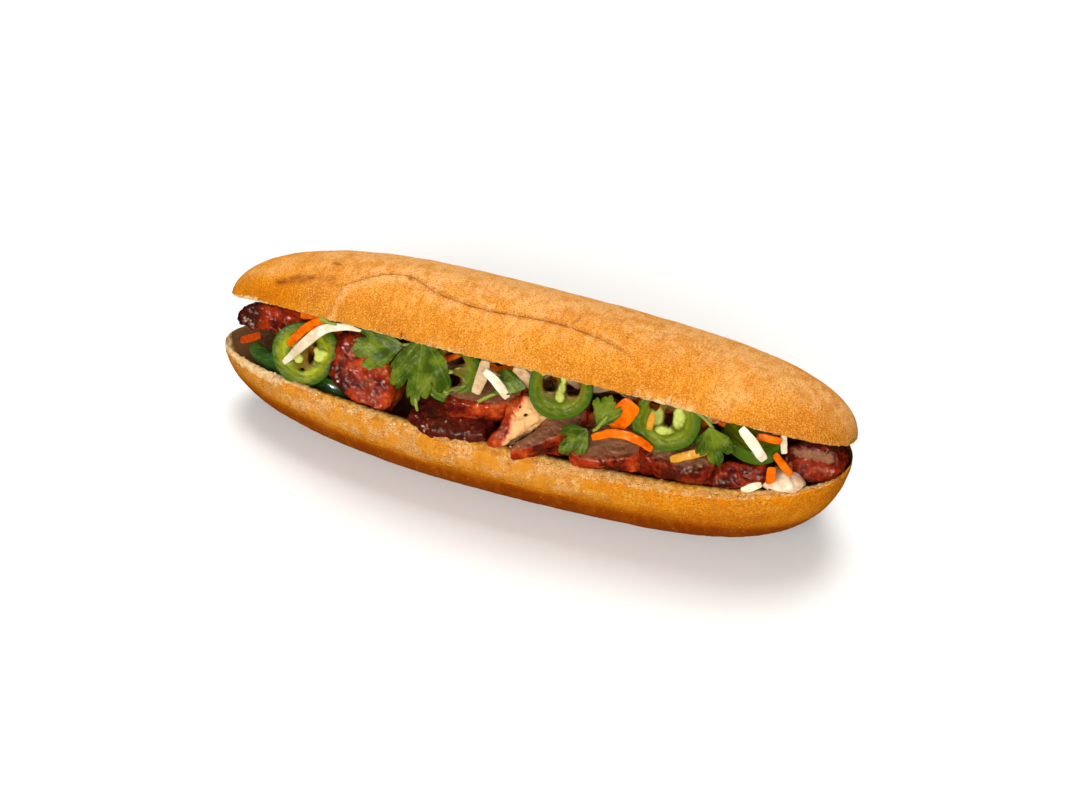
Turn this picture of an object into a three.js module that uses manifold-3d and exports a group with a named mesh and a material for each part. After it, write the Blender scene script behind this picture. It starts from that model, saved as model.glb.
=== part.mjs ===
// A banh mi sandwich: a crusty loaf slit along its front and hinged along its back, filled with
// glazed roast pork, green chilli rings, pickled carrot and daikon, coriander, a cucumber spear
// and mayonnaise. Millimetres, +Z up. +X runs along the loaf and the open side faces -Y.
// The origin is on the surface the loaf stands on, under the middle of its length.

import * as THREE from 'three';
import { mergeVertices } from 'three/addons/utils/BufferGeometryUtils.js';
import Module from 'manifold-3d';

const wasm = await Module();
wasm.setup();

// ---------------------------------------------------------------- driving dimensions: the loaf

const LOAF = {
  length: 265,
  halfWidth: 37.5,
  slitHeight: 29.8, // the slit's height above the board, in the middle of the loaf
  heelDepth: 35.5, // from the slit down to the heel's lowest point, before its flat is pressed in
  lidRise: 27.3, // from the slit up to the crown, measured square to the slit
  hingeInset: 2, // from the loaf's back in to the line the lid turns about
  heelHollow: 11, // how far the crumb is pressed in under the filling
  rimLip: 1.6, // how far the torn crust stands above the slit
  lidHollow: 9,
};

// How the two ends differ. Bluntness is the power of the rounding towards a tip: 2 is an ellipse,
// more is squarer. Sweep moves a tip back, and lift raises the slit there.
const LEFT = {
  opening: 41,
  sag: 13.5,
  lidPlan: 1.7,
  lidHeight: 2.9,
  heelPlan: 1.8,
  heelHeight: 3.1,
  sweep: 2,
  lift: -5,
};
const RIGHT = {
  opening: 30,
  sag: 6.7,
  lidPlan: 5.5,
  lidHeight: 4.3,
  heelPlan: 4.1,
  heelHeight: 6.0,
  sweep: 1,
  lift: 4.5,
};
const MIDDLE_OPENING = 30.5;
const CROWN_TAPER = 0.15; // the crown is this share higher at the left tip than its mean

// The baker's score: a flap of crust that laps over the front of the crown.
const SCORE = {
  from: -92,
  to: 50,
  turn: 0.235, // where it runs round the lid: 0 is the slit at the front, 1 at the back
  bump: { at: -51, turn: 0.075, reach: 11 },
  lap: 1.6,
};

// The uncut back, which joins the two halves.
const HINGE = { from: -80, to: 108, inset: 4.5, halfWidth: 4.9, halfHeight: 8.5, lift: 1 };

const CRUMB_GAP = 0.7; // between the filling and the bread
const PIECE_GAP = 0.32; // between two pieces of filling

// ---------------------------------------------------------------- driving dimensions: the filling

// Roast pork. Each slice has the outline of its cut face, in millimetres along and up the face,
// where the face is, how far it leans back, turns and rolls, in degrees, and how thick it is.
const PORK = [
  {
    at: [-107, -4, 45],
    lean: 60,
    thickness: 14,
    face: [[-16, -4], [-15, 0], [-7, 4], [10, 5], [27, 3], [25, -10], [10, -11], [0, -6], [-12, -7]],
  },
  {
    at: [-62, -20, 40],
    lean: 55,
    turn: 5,
    thickness: 20,
    face: [[-13, -3], [-13, 6], [-11, 14], [-5, 15], [2, 12], [8, 8], [13, -1], [12, -10], [8, -14], [-5, -10]],
  },
  {
    at: [-11, -24, 44.5],
    lean: 12,
    thickness: 11,
    face: [[-12, -4], [-1, -3], [9, 0], [15, 7], [13, 20], [-8, 20], [-11, 4]],
  },
  {
    at: [-23, -28, 36],
    lean: 12,
    thickness: 11,
    face: [[-14, -3], [-8, -7], [2, -8], [16, -6], [18, -2], [15, 20], [-11, 20], [-14, 6]],
  },
  {
    at: [6, -27, 42],
    lean: 42,
    turn: 10,
    thickness: 13,
    face: [[-10, -10], [-5, -11], [1, -6], [10, 1], [9, 5], [2, 10], [-4, 6], [-5, -1]],
  },
  {
    at: [19, -27, 39.5],
    lean: 12,
    roll: 8,
    thickness: 13,
    face: [[-12, -11], [-6, -10], [1, -5], [10, 3], [12, 8], [9, 22], [-4, 22], [-5, 2]],
  },
  {
    at: [43, -28, 38],
    lean: 12,
    thickness: 12,
    face: [[-12, -6], [-4, -7], [5, -4], [12, 0], [13, 8], [10, 24], [-9, 24], [-12, 3]],
  },
  {
    at: [67, -26, 39.5],
    lean: 12,
    thickness: 15,
    face: [[-11, 0], [-5, -3], [8, -5], [16, -3], [18, 3], [13, 22], [-8, 22], [-10, 8]],
  },
  {
    at: [95, -24, 37],
    lean: 50,
    thickness: 16,
    face: [[-11, 1], [-6, 4], [1, 5], [10, 6], [10, 0], [4, -5], [-3, -8], [-9, -7]],
  },
  {
    at: [120.5, -11, 41.5],
    lean: 55,
    thickness: 20,
    face: [[-12, -2], [-10, 4], [-3, 7], [7, 7], [11, 3], [10, -3], [2, -7], [-8, -6]],
  },
];

// Chilli rings. Chambers are the holes either side of the pith: place, half width, half height.
const CHILLI = [
  { at: [-89, -15, 39.5], lean: 58, turn: 12, radius: 13.6, thickness: 4.5, chambers: [[0, 1, 3, 6]] },
  {
    at: [-24, -20, 51],
    lean: 60,
    turn: 12,
    radius: 12.3,
    thickness: 5,
    chambers: [[0.5, 4, 4.8, 3.8], [1.5, -3, 3, 2.6]],
  },
  {
    at: [22, -22, 57.5],
    lean: 60,
    turn: 12,
    radius: 12.6,
    thickness: 5,
    chambers: [[-3.5, 2, 3.4, 4.5], [5, 1, 3, 5]],
  },
  {
    at: [65, -22, 54.5],
    lean: 60,
    turn: 5,
    radius: 13.2,
    thickness: 5,
    chambers: [[-4, 4, 3, 4], [4.5, -0.5, 3.4, 5]],
  },
  { at: [97, -12, 50], lean: 12, turn: -8, radius: 11.3, thickness: 7, chambers: [[0, 0, 7.6, 7.6]] },
];

// Pickle shreds: the points each runs through, its width and its thickness.
const CARROT = [
  { route: [[-96, -15, 42], [-89, -15, 51], [-83, -14, 56], [-77, -13, 59]], width: 3.6, thickness: 2 },
  { route: [[-124, -3, 28], [-113, -6, 36]], width: 4, thickness: 2.2 },
  { route: [[-93, -8, 53], [-86, -9, 55.5], [-78, -10, 57]], width: 4, thickness: 2 },
  { route: [[44, -25, 47], [48, -24, 53], [52, -22, 59]], width: 9, thickness: 2 },
  { route: [[38, -30, 44], [45, -30, 48], [51, -30, 49], [57, -30, 48], [62, -29, 44]], width: 3.6, thickness: 2 },
  { route: [[69, -28, 40.5], [76, -27, 44], [83, -24, 46]], width: 3.4, thickness: 2.2 },
  { route: [[100, -20, 55], [109, -18, 53]], width: 3, thickness: 1.8 },
  { route: [[107, -23, 35.5], [107, -22, 43]], width: 3.8, thickness: 2 },
  { route: [[107, -19.5, 47.5], [114, -19, 39]], width: 3, thickness: 2 },
];
const DAIKON = [
  {
    route: [[-100, -18, 31], [-90, -19, 44], [-79, -18, 56], [-69, -18, 60], [-61, -18, 60]],
    width: 3.6,
    thickness: 1.8,
    taper: 0.8,
  },
  { route: [[-7, -26, 61], [-2, -27, 58], [3, -28, 52]], width: 4, thickness: 2 },
  { route: [[95, -25, 61], [100, -26, 56], [105, -26, 49]], width: 4, thickness: 1.8 },
  { route: [[97, -27, 32.5], [104, -24, 35.5]], width: 3, thickness: 2 },
  { route: [[-9, -20, 61], [-10, -22, 54], [-12, -24, 47]], width: 6, thickness: 2.4 },
  { route: [[2, -20, 59], [7, -20, 58], [11, -21, 54]], width: 5, thickness: 2.4 },
  { route: [[61, -26.5, 60], [60, -28, 52.5]], width: 2.6, thickness: 1.6 },
  { route: [[109, -15, 54], [110, -16, 46]], width: 2.6, thickness: 2 },
];

// Coriander leaves: at is the foot of the blade, spin turns its tip round from the right of the
// loaf, spread is half the angle the fan opens to and curl folds the blade along its midrib.
const CORIANDER = [
  { at: [-35, -19, 67], lean: 65, turn: 14, spin: -92, length: 29, spread: 29, curl: 0.01 },
  { at: [-44, -23, 60], lean: 55, turn: 5, spin: -165, length: 20, spread: 26, curl: 0.04 },
  { at: [40, -28, 48], lean: 74, turn: 0, spin: 76, length: 14, spread: 34, curl: 0.05 },
  { at: [36, -28, 46], lean: 60, turn: -10, spin: -128, length: 15, spread: 38, curl: 0.03 },
  { at: [83, -25, 58.5], lean: 74, turn: 8, spin: -72, length: 16, spread: 36, curl: 0.03 },
  { at: [10, -25, 56.5], lean: 45, turn: 0, spin: 178, length: 16, spread: 24, curl: 0.03 },
];
const LEAF_THICKNESS = 0.9;

const CUCUMBER = { route: [[-119, -3, 27], [-104, -9, 25.5], [-88, -12, 24], [-70, -14, 23]], size: [11, 10] };
const MAYONNAISE = { at: [111, -17, 34], half: [9, 6, 3] };

// The heap of pickle shreds behind the pork and chillies.
const HEAP = { from: -46, to: 100, front: -6, back: 25, overPork: 47, shreds: 8, seed: 7 };

// ---------------------------------------------------------------- small helpers

const { PI, abs, cos, sin, sign, min, max, sqrt } = Math;
const clamp = (t, low, high) => min(high, max(low, t));
const lerp = (a, b, t) => a + (b - a) * t;
const radians = (degrees) => (degrees * PI) / 180;
const vector = (p) => new THREE.Vector3(...p);

// An uneven edge that is the same on every run: a sum of sines with no short period.
function waver(t, wavelength, seed) {
  const k = (2 * PI * t) / wavelength;
  return 0.5 * sin(k + seed) + 0.3 * sin(2.17 * k + 2.3 * seed) + 0.2 * sin(4.31 * k + 3.7 * seed);
}

// Uneven in all three directions, for lumps on a surface.
function lump(p, wavelength, seed) {
  return (
    waver(p.x + 0.7 * p.y, wavelength, seed) +
    waver(p.y - 0.6 * p.z, wavelength, seed + 2) +
    waver(p.z + 0.5 * p.x, wavelength, seed + 5)
  ) / 3;
}

// A repeatable draw between 0 and 1.
function randomSource(seed) {
  let state = seed;
  return () => {
    state = (state * 16807) % 2147483647;
    return state / 2147483647;
  };
}

function triangleGeometry(points, faces) {
  const flat = new Float32Array(points.length * 3);
  points.forEach((p, i) => p.toArray(flat, i * 3));
  return new THREE.BufferGeometry()
    .setAttribute('position', new THREE.BufferAttribute(flat, 3))
    .setIndex(faces.flat());
}

// A closed skin over a row of closed loops that all have the same number of points.
// Seen from the far end the loops run clockwise, so that the faces point outwards.
function loft(loops) {
  const n = loops[0].length;
  const points = loops.flat();
  const faces = [];
  for (let i = 0; i + 1 < loops.length; i++) {
    for (let j = 0; j < n; j++) {
      const a = i * n + j;
      const b = i * n + ((j + 1) % n);
      faces.push([a, a + n, b], [b, a + n, b + n]);
    }
  }
  const centreOf = (loop) =>
    loop.reduce((sum, p) => sum.add(p), new THREE.Vector3()).divideScalar(loop.length);
  const first = points.push(centreOf(loops[0])) - 1;
  const last = points.push(centreOf(loops[loops.length - 1])) - 1;
  const base = (loops.length - 1) * n;
  for (let j = 0; j < n; j++) {
    const k = (j + 1) % n;
    faces.push([first, j, k], [last, base + k, base + j]);
  }
  return triangleGeometry(points, faces);
}

function merged(geometry) {
  const bare = geometry.clone();
  bare.deleteAttribute('normal');
  bare.deleteAttribute('uv');
  return mergeVertices(bare, 1e-4);
}

function solidOf(geometry) {
  const clean = merged(geometry);
  const mesh = new wasm.Mesh({
    numProp: 3,
    vertProperties: clean.attributes.position.array,
    triVerts: new Uint32Array(clean.index.array),
  });
  return new wasm.Manifold(mesh);
}

function geometryOf(solid) {
  const mesh = solid.getMesh();
  const geometry = new THREE.BufferGeometry();
  geometry.setAttribute('position', new THREE.BufferAttribute(mesh.vertProperties, 3));
  geometry.setIndex(new THREE.BufferAttribute(mesh.triVerts, 1));
  geometry.computeVertexNormals();
  return geometry;
}

// The same solid with its skin moved out, used to cut clearance for it.
function grown(geometry, by) {
  const clean = merged(geometry);
  clean.computeVertexNormals();
  const { position, normal } = clean.attributes;
  for (let i = 0; i < position.count; i++) {
    position.setXYZ(
      i,
      position.getX(i) + by * normal.getX(i),
      position.getY(i) + by * normal.getY(i),
      position.getZ(i) + by * normal.getZ(i),
    );
  }
  return solidOf(clean);
}

// From a piece's own plane, whose third axis is the way its face looks, to where the piece lies.
function lying({ at, lean = 0, turn = 0, roll = 0, spin = 0 }) {
  return new THREE.Matrix4()
    .makeTranslation(...at)
    .multiply(new THREE.Matrix4().makeRotationZ(radians(turn)))
    .multiply(new THREE.Matrix4().makeRotationX(radians(lean)))
    .multiply(new THREE.Matrix4().makeRotationY(radians(-roll)))
    .multiply(new THREE.Matrix4().makeRotationZ(radians(spin)));
}

// ---------------------------------------------------------------- the loaf

const HALF = LOAF.length / 2;

const endAt = (x) => (x < 0 ? LEFT : RIGHT);

// How full the loaf still is at x: 1 in the middle, 0 at the tips.
const fullness = (x, bluntness) => sqrt(max(0, 1 - abs(x / HALF) ** bluntness));

const hingeY = LOAF.halfWidth - LOAF.hingeInset;
const sweepAt = (x) => endAt(x).sweep * (x / HALF) ** 2;
const slitAt = (x) => LOAF.slitHeight + endAt(x).lift * abs(x / HALF) ** 3;
const lidHalfWidthAt = (x) => LOAF.halfWidth * fullness(x, endAt(x).lidPlan);
const heelHalfWidthAt = (x) => LOAF.halfWidth * fullness(x, endAt(x).heelPlan);
const heelDepthAt = (x) => LOAF.heelDepth * fullness(x, endAt(x).heelHeight);
const heelHollowAt = (x) => min(LOAF.heelHollow, heelDepthAt(x) * 0.4);

function lidRiseAt(x) {
  return LOAF.lidRise * fullness(x, endAt(x).lidHeight) * (1 - (CROWN_TAPER * x) / HALF);
}

// The height of the heel's crumb above the slit. v runs from -1 at the front to 1 at the back.
function crumbAt(x, v) {
  const pressed = clamp((0.87 - abs(v)) / 0.42, 0, 1);
  const lip = LOAF.rimLip * fullness(x, 4) * sin(PI * clamp((1 - abs(v)) / 0.26, 0, 1));
  return lip - heelHollowAt(x) * pressed * pressed * (3 - 2 * pressed);
}

const lidHollowAt = (x) => min(LOAF.lidHollow, lidRiseAt(x) * 0.35);
const openingAt = (x) => radians(lerp(MIDDLE_OPENING, endAt(x).opening, (x / HALF) ** 2));

// From the closed loaf, where z is measured from the slit, to the opened lid.
function openLid(x, y, z) {
  const angle = openingAt(x);
  const reach = hingeY - y;
  const sag = endAt(x).sag * (x / HALF) ** 2 * clamp(reach / (1.2 * LOAF.halfWidth), 0, 1);
  return new THREE.Vector3(
    x,
    hingeY - reach * cos(angle) + z * sin(angle),
    LOAF.slitHeight + reach * sin(angle) + z * cos(angle) - sag,
  );
}

// A point on a rounded box arc: turn 0 is the front of the slit, 1 the back.
function arcPoint(turn, halfWidth, height, power) {
  const c = cos(PI * turn);
  const s = sin(PI * turn);
  return [-halfWidth * sign(c) * abs(c) ** (2 / power), height * s ** (2 / power)];
}

// Where the score runs round the lid at x, and how deep its lap is there.
function scoreTurnAt(x) {
  const bump = SCORE.bump.turn * Math.exp(-(((x - SCORE.bump.at) / SCORE.bump.reach) ** 2));
  const fall = 0.11 * clamp((-58 - x) / 34, 0, 1) + 0.04 * clamp((x - 25) / 25, 0, 1);
  return SCORE.turn + bump - fall;
}
const scoreLapAt = (x) => SCORE.lap * sqrt(clamp(min(x - SCORE.from, SCORE.to - x) / 14, 0, 1));

const STATIONS = 40;
const TIP = 0.9985; // how far along its half length the last station is
const LID_TURNS = { front: 4, back: 9 };
const SCORE_EDGE = 0.007; // half the turn between the lap's foot and its lip
const HEEL_TURNS = 14;
const CRUMB_STEPS = 9;

const xs = [];
for (let i = 0; i <= STATIONS; i++) xs.push(HALF * TIP * sin((PI / 2) * (-1 + (2 * i) / STATIONS)));

// The crust's turns, closer together either side of the score.
function lidTurns(x) {
  const score = scoreTurnAt(x);
  const turns = [];
  for (let j = 0; j < LID_TURNS.front; j++) turns.push((score - SCORE_EDGE) * sin((PI / 2) * (j / LID_TURNS.front)));
  turns.push(score - SCORE_EDGE, score + SCORE_EDGE);
  for (let j = 1; j <= LID_TURNS.back; j++) turns.push(lerp(score + SCORE_EDGE, 1, j / LID_TURNS.back));
  return turns;
}

// The torn edge of the crust along the slit.
const ragged = (x, seed) => 0.9 * waver(x, 17, seed) * fullness(x, 2) ** 2;

function lidSection(x) {
  const b = lidHalfWidthAt(x);
  const rise = lidRiseAt(x);
  const lap = scoreLapAt(x);
  const loop = lidTurns(x).map((turn, j) => {
    const raised = turn > scoreTurnAt(x) ? lap * clamp((0.62 - turn) / 0.3, 0, 1) : 0;
    const grow = (b + raised) / b;
    const [y, z] = arcPoint(turn, b * grow, rise + raised, 2.2);
    const tear = j === 0 ? ragged(x, 1) : 0;
    return openLid(x, y + sweepAt(x) + tear, z + (j === 0 ? 0.6 * ragged(x, 4) : 0));
  });
  for (let j = 1; j < CRUMB_STEPS; j++) {
    const v = -cos((PI * j) / CRUMB_STEPS);
    loop.push(openLid(x, -v * b + sweepAt(x), lidHollowAt(x) * (1 - v ** 4)));
  }
  return loop;
}

function heelSection(x) {
  const b = heelHalfWidthAt(x);
  const depth = heelDepthAt(x);
  const loop = [];
  for (let j = 0; j <= HEEL_TURNS; j++) {
    const [y, z] = arcPoint(1 - j / HEEL_TURNS, b, depth, 2.6);
    const tear = j === HEEL_TURNS ? 0.8 * ragged(x, 2) : 0;
    loop.push(new THREE.Vector3(x, y + sweepAt(x), max(0, slitAt(x) - z + tear)));
  }
  for (let j = 1; j < CRUMB_STEPS; j++) {
    const v = -cos((PI * j) / CRUMB_STEPS);
    loop.push(new THREE.Vector3(x, v * b + sweepAt(x), slitAt(x) + crumbAt(x, v)));
  }
  return loop;
}

function hingeSection(t) {
  const x = lerp(HINGE.from, HINGE.to, t);
  const fill = sqrt(max(0.02, 1 - abs(2 * t - 1) ** 5));
  const y = min(lidHalfWidthAt(x), heelHalfWidthAt(x)) - HINGE.inset;
  const z = slitAt(x) + HINGE.lift + 0.3 * (LOAF.halfWidth - y - HINGE.inset);
  const loop = [];
  for (let j = 0; j < 10; j++) {
    const a = (2 * PI * j) / 10;
    loop.push(
      new THREE.Vector3(x, y + fill * HINGE.halfWidth * sin(a), z + fill * HINGE.halfHeight * cos(a)),
    );
  }
  return loop;
}

function makeBread() {
  const lid = solidOf(loft(xs.map(lidSection)));
  const heel = solidOf(loft(xs.map(heelSection)));
  const hinge = [];
  for (let i = 0; i <= 14; i++) hinge.push(hingeSection(i / 14));
  return lid.add(heel).add(solidOf(loft(hinge)));
}

// The lowest and highest that filling may lie between the two crumbs, over the point x, y.
function floorAt(x, y) {
  const v = (y - sweepAt(x)) / heelHalfWidthAt(x);
  if (!(abs(v) < 1)) return -Infinity;
  return slitAt(x) + crumbAt(x, v) + CRUMB_GAP;
}
function ceilingAt(x, y) {
  const b = lidHalfWidthAt(x);
  const angle = openingAt(x);
  let hollow = lidHollowAt(x);
  let closedY = y;
  for (let pass = 0; pass < 4; pass++) {
    closedY = hingeY - (hingeY - y + hollow * sin(angle)) / cos(angle);
    const v = clamp((closedY - sweepAt(x)) / b, -1, 1);
    hollow = lidHollowAt(x) * (1 - v ** 4);
  }
  if (abs(closedY - sweepAt(x)) >= b) return Infinity;
  return openLid(x, closedY, hollow).z - CRUMB_GAP - 0.3;
}
function keepInMouth(p) {
  const floor = floorAt(p.x, p.y);
  const ceiling = ceilingAt(p.x, p.y);
  p.z = floor > ceiling ? (floor + ceiling) / 2 : clamp(p.z, floor, ceiling);
  return p;
}

// ---------------------------------------------------------------- the filling

// A thick slice with worn edges: smooth outline, rounded rim, lumpy sides.
const SLICE_RINGS = [
  { inset: 0.66, depth: -0.3 },
  { inset: 0.93, depth: 0.35 },
  { inset: 1.02, depth: 2.2 },
  { inset: 1.0, depth: -2.6 }, // a negative depth past the second ring counts up from the underside
  { inset: 0.8, depth: -0.01 },
];
function makeSlice(spec, seed) {
  const outline = new THREE.CatmullRomCurve3(
    spec.face.map(([a, b]) => new THREE.Vector3(a, b, 0)),
    true,
    'centripetal',
  );
  const around = outline.getSpacedPoints(16).slice(0, -1);
  const middle = around.reduce((sum, p) => sum.add(p), new THREE.Vector3()).divideScalar(around.length);
  const place = lying(spec);
  const clockwise = THREE.ShapeUtils.isClockWise(around);
  const ordered = clockwise ? around.reverse() : around;
  const loops = SLICE_RINGS.map(({ inset, depth }, i) => {
    const down = i > 2 ? spec.thickness + depth : depth;
    return ordered.map((p) => {
      const q = p.clone().lerp(middle, 1 - inset);
      q.z = -down;
      q.applyMatrix4(place);
      const bulge = lump(q, 9, seed) * (i === 0 ? 0.5 : 0.9);
      const out = p.clone().sub(middle).normalize().transformDirection(place);
      return keepInMouth(q.addScaledVector(out, bulge));
    });
  });
  return loft(loops);
}

// A slice across a chilli: a flesh wall and pith, with open chambers between.
function makeChilliRing(spec, seed) {
  const wall = new THREE.Shape();
  const corner = (a) => {
    const r = spec.radius - 0.5 + 0.035 * spec.radius * sin(3 * a + seed) + 0.3 * sin(2 * a + 2 * seed);
    return new THREE.Vector2(r * cos(a), r * sin(a) * 0.96);
  };
  const rim = [];
  for (let j = 0; j < 22; j++) rim.push(corner((2 * PI * j) / 22));
  wall.setFromPoints(rim);
  for (const [a, b, halfWidth, halfHeight] of spec.chambers) {
    const hole = new THREE.Path();
    hole.absellipse(a, b, halfWidth, halfHeight, 0, 2 * PI, true, 0.4);
    wall.holes.push(hole);
  }
  return new THREE.ExtrudeGeometry(wall, {
    depth: spec.thickness - 1.2,
    bevelEnabled: true,
    bevelThickness: 0.6,
    bevelSize: 0.5,
    bevelSegments: 1,
    curveSegments: 5,
  })
    .translate(0, 0, 0.6 - spec.thickness)
    .applyMatrix4(lying(spec));
}

// A cut shred of carrot or daikon: a squared bar that follows its route.
function makeShred({ route, width, thickness, taper = 0.15 }, seed) {
  const curve = new THREE.CatmullRomCurve3(route.map(vector));
  const steps = 2 * route.length;
  const loops = [];
  const outwards = new THREE.Vector3(0.25, -0.72, 0.64).normalize();
  for (let i = 0; i <= steps; i++) {
    const t = i / steps;
    const p = curve.getPointAt(t);
    const along = curve.getTangentAt(t);
    const across = new THREE.Vector3().crossVectors(outwards, along).normalize();
    const through = new THREE.Vector3().crossVectors(along, across).normalize();
    const narrow = 1 - taper * abs(2 * t - 1) ** 3;
    const w = (width / 2) * narrow * (1 + 0.08 * sin(5 * t + seed));
    const h = (thickness / 2) * sqrt(narrow);
    loops.push(
      [[-w, -h], [-w, h], [w, h], [w, -h]].map(([a, c]) =>
        p.clone().addScaledVector(across, a).addScaledVector(through, c),
      ),
    );
  }
  return loft(loops);
}

// A thin wavy coriander blade: a fan that spreads from its foot, cut into three toothed lobes.
// Both faces have the same triangles.
const FAN = { spokes: 18, rings: [0.36, 0.7, 1] };
function makeLeaf({ length, spread, curl, ...where }, seed) {
  const place = lying(where);
  const pointAt = (a, share, side) => {
    const v = a / radians(spread);
    const lobe = 0.78 + 0.22 * abs(cos(1.5 * PI * v)) ** 0.7;
    const tooth = 1 + 0.05 * cos(6 * PI * v + seed);
    const broad = 1 - 0.22 * v ** 2;
    const r = length * share * broad * lerp(1, lobe * tooth, share ** 2);
    const p = new THREE.Vector3(r * cos(a), r * sin(a), 0);
    const wave = 1.2 * waver(p.x + 1.3 * p.y, 30, seed) * share;
    p.z = wave - curl * p.y ** 2 - 0.004 * p.x ** 2 + (side * LEAF_THICKNESS) / 2;
    return p.applyMatrix4(place);
  };
  const points = [];
  for (const side of [1, -1]) {
    for (const share of FAN.rings) {
      for (let j = 0; j <= FAN.spokes; j++) {
        points.push(pointAt(radians(spread) * ((2 * j) / FAN.spokes - 1), share, side));
      }
    }
    points.push(pointAt(0, 0, side));
  }
  const row = FAN.spokes + 1;
  const foot = FAN.rings.length * row;
  const under = foot + 1;
  const faces = [];
  const addBoth = (a, b, c) => faces.push([a, b, c], [under + a, under + c, under + b]);
  const addRim = (a, b) => faces.push([a, under + a, under + b], [a, under + b, b]);
  for (let j = 0; j < FAN.spokes; j++) {
    addBoth(foot, j, j + 1);
    for (let a = j; a + row < foot; a += row) {
      addBoth(a, a + row, a + row + 1);
      addBoth(a, a + row + 1, a + 1);
    }
    addRim(foot - row + j, foot - row + j + 1);
  }
  for (let a = 0; a + row < foot; a += row) {
    addRim(a, a + row);
    addRim(a + row + FAN.spokes, a + FAN.spokes);
  }
  addRim(foot, 0);
  addRim(FAN.spokes, foot);
  return triangleGeometry(points, faces);
}

// A cucumber spear: a rounded skin side to the front and two cut faces that meet behind.
function makeCucumber({ route, size }) {
  const curve = new THREE.CatmullRomCurve3(route.map(vector));
  const steps = 7;
  const loops = [];
  for (let i = 0; i <= steps; i++) {
    const t = i / steps;
    const p = curve.getPointAt(t);
    const full = (1 - abs(2 * t - 1) ** 6) ** 0.4 * 0.75 + 0.25;
    const loop = [];
    for (let j = 0; j < 7; j++) {
      const a = PI * (0.05 + (0.95 * j) / 6);
      const y = p.y - full * (size[0] / 2) * sin(a);
      const z = p.z + full * (size[1] / 2) * cos(a);
      loop.push(keepInMouth(new THREE.Vector3(p.x, y, z)));
    }
    loop.push(keepInMouth(new THREE.Vector3(p.x, p.y + full * size[0] * 0.4, p.z)));
    loops.push(loop.reverse());
  }
  return loft(loops);
}

// A smear of mayonnaise pressed out on to the crumb.
function makeMayonnaise({ at, half }) {
  const blob = merged(new THREE.SphereGeometry(1, 14, 8));
  const { position } = blob.attributes;
  const p = new THREE.Vector3();
  for (let i = 0; i < position.count; i++) {
    p.fromBufferAttribute(position, i);
    const swell = 1 + 0.16 * lump(p, 1.7, 3);
    p.multiplyScalar(swell).multiply(vector(half)).add(vector(at));
    keepInMouth(p);
    position.setXYZ(i, p.x, p.y, p.z);
  }
  return blob;
}

// The heap's core, with the shreds that show along its front fused on.
function makeHeap() {
  const steps = 12;
  const loops = [];
  for (let i = 0; i <= steps; i++) {
    const x = lerp(HEAP.from, HEAP.to, i / steps);
    const full = 0.35 + 0.65 * sqrt(1 - abs((2 * i) / steps - 1) ** 4);
    const loop = [];
    for (let j = 0; j < 10; j++) {
      const a = (2 * PI * j) / 10;
      const y = lerp(HEAP.front, HEAP.back, 0.5 - 0.5 * cos(a)) + 1.4 * waver(x + 6 * j, 23, 2);
      const high = ceilingAt(x, y) - 1.5 + 1.2 * waver(x, 19, j);
      const low = y < 4 ? HEAP.overPork : floorAt(x, y);
      const middle = (max(high, low + 1) + low) / 2;
      const z = middle + full * (0.3 + 0.7 * abs(sin(a))) * sign(sin(a)) * abs(max(high, low + 1) - middle);
      loop.push(keepInMouth(new THREE.Vector3(x, y, z)));
    }
    loops.push(loop);
  }
  let heap = solidOf(loft(loops));
  const draw = randomSource(HEAP.seed);
  for (let i = 0; i < HEAP.shreds; i++) {
    const x = lerp(HEAP.from + 8, HEAP.to - 10, (i + 0.2 + 0.6 * draw()) / HEAP.shreds);
    const y = HEAP.front - 1 + 5 * draw();
    const z = lerp(HEAP.overPork + 4, ceilingAt(x, y) - 5, draw());
    const swing = (draw() - 0.5) * 2;
    const route = [
      [x - 7 * cos(swing), y + 2, z - 7 * sin(swing)],
      [x, y - 2.2, z],
      [x + 7 * cos(swing), y + 2, z + 7 * sin(swing)],
    ].map((p) => keepInMouth(vector(p)).add(new THREE.Vector3(0, 0, -0.8)).toArray());
    heap = heap.add(solidOf(makeShred({ route, width: 3, thickness: 2 }, i)));
  }
  return heap;
}

// ---------------------------------------------------------------- the sandwich

const sandwich = new THREE.Group();
const placed = [];

// Adds one named piece. Where it would touch a piece that is already there, it gives way.
function addNode(name, solid, colour, roughness) {
  let piece = solid;
  const box = () => {
    const { min: low, max: high } = piece.boundingBox();
    return new THREE.Box3(vector(low), vector(high));
  };
  let cut = false;
  for (const other of placed) {
    if (!other.box.intersectsBox(box())) continue;
    if (piece.intersect(other.cutter).isEmpty()) continue;
    piece = piece.subtract(other.cutter);
    cut = true;
  }
  if (cut) {
    const bodies = piece.decompose();
    piece = bodies.reduce((best, body) => (body.volume() > best.volume() ? body : best));
  }
  const geometry = geometryOf(piece);
  const cutter = grown(geometry, PIECE_GAP).add(piece);
  const { min: low, max: high } = cutter.boundingBox();
  placed.push({ cutter, box: new THREE.Box3(vector(low), vector(high)) });
  const mesh = new THREE.Mesh(
    geometry,
    new THREE.MeshStandardMaterial({ color: colour, roughness, metalness: 0 }),
  );
  mesh.name = name;
  sandwich.add(mesh);
}

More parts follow.
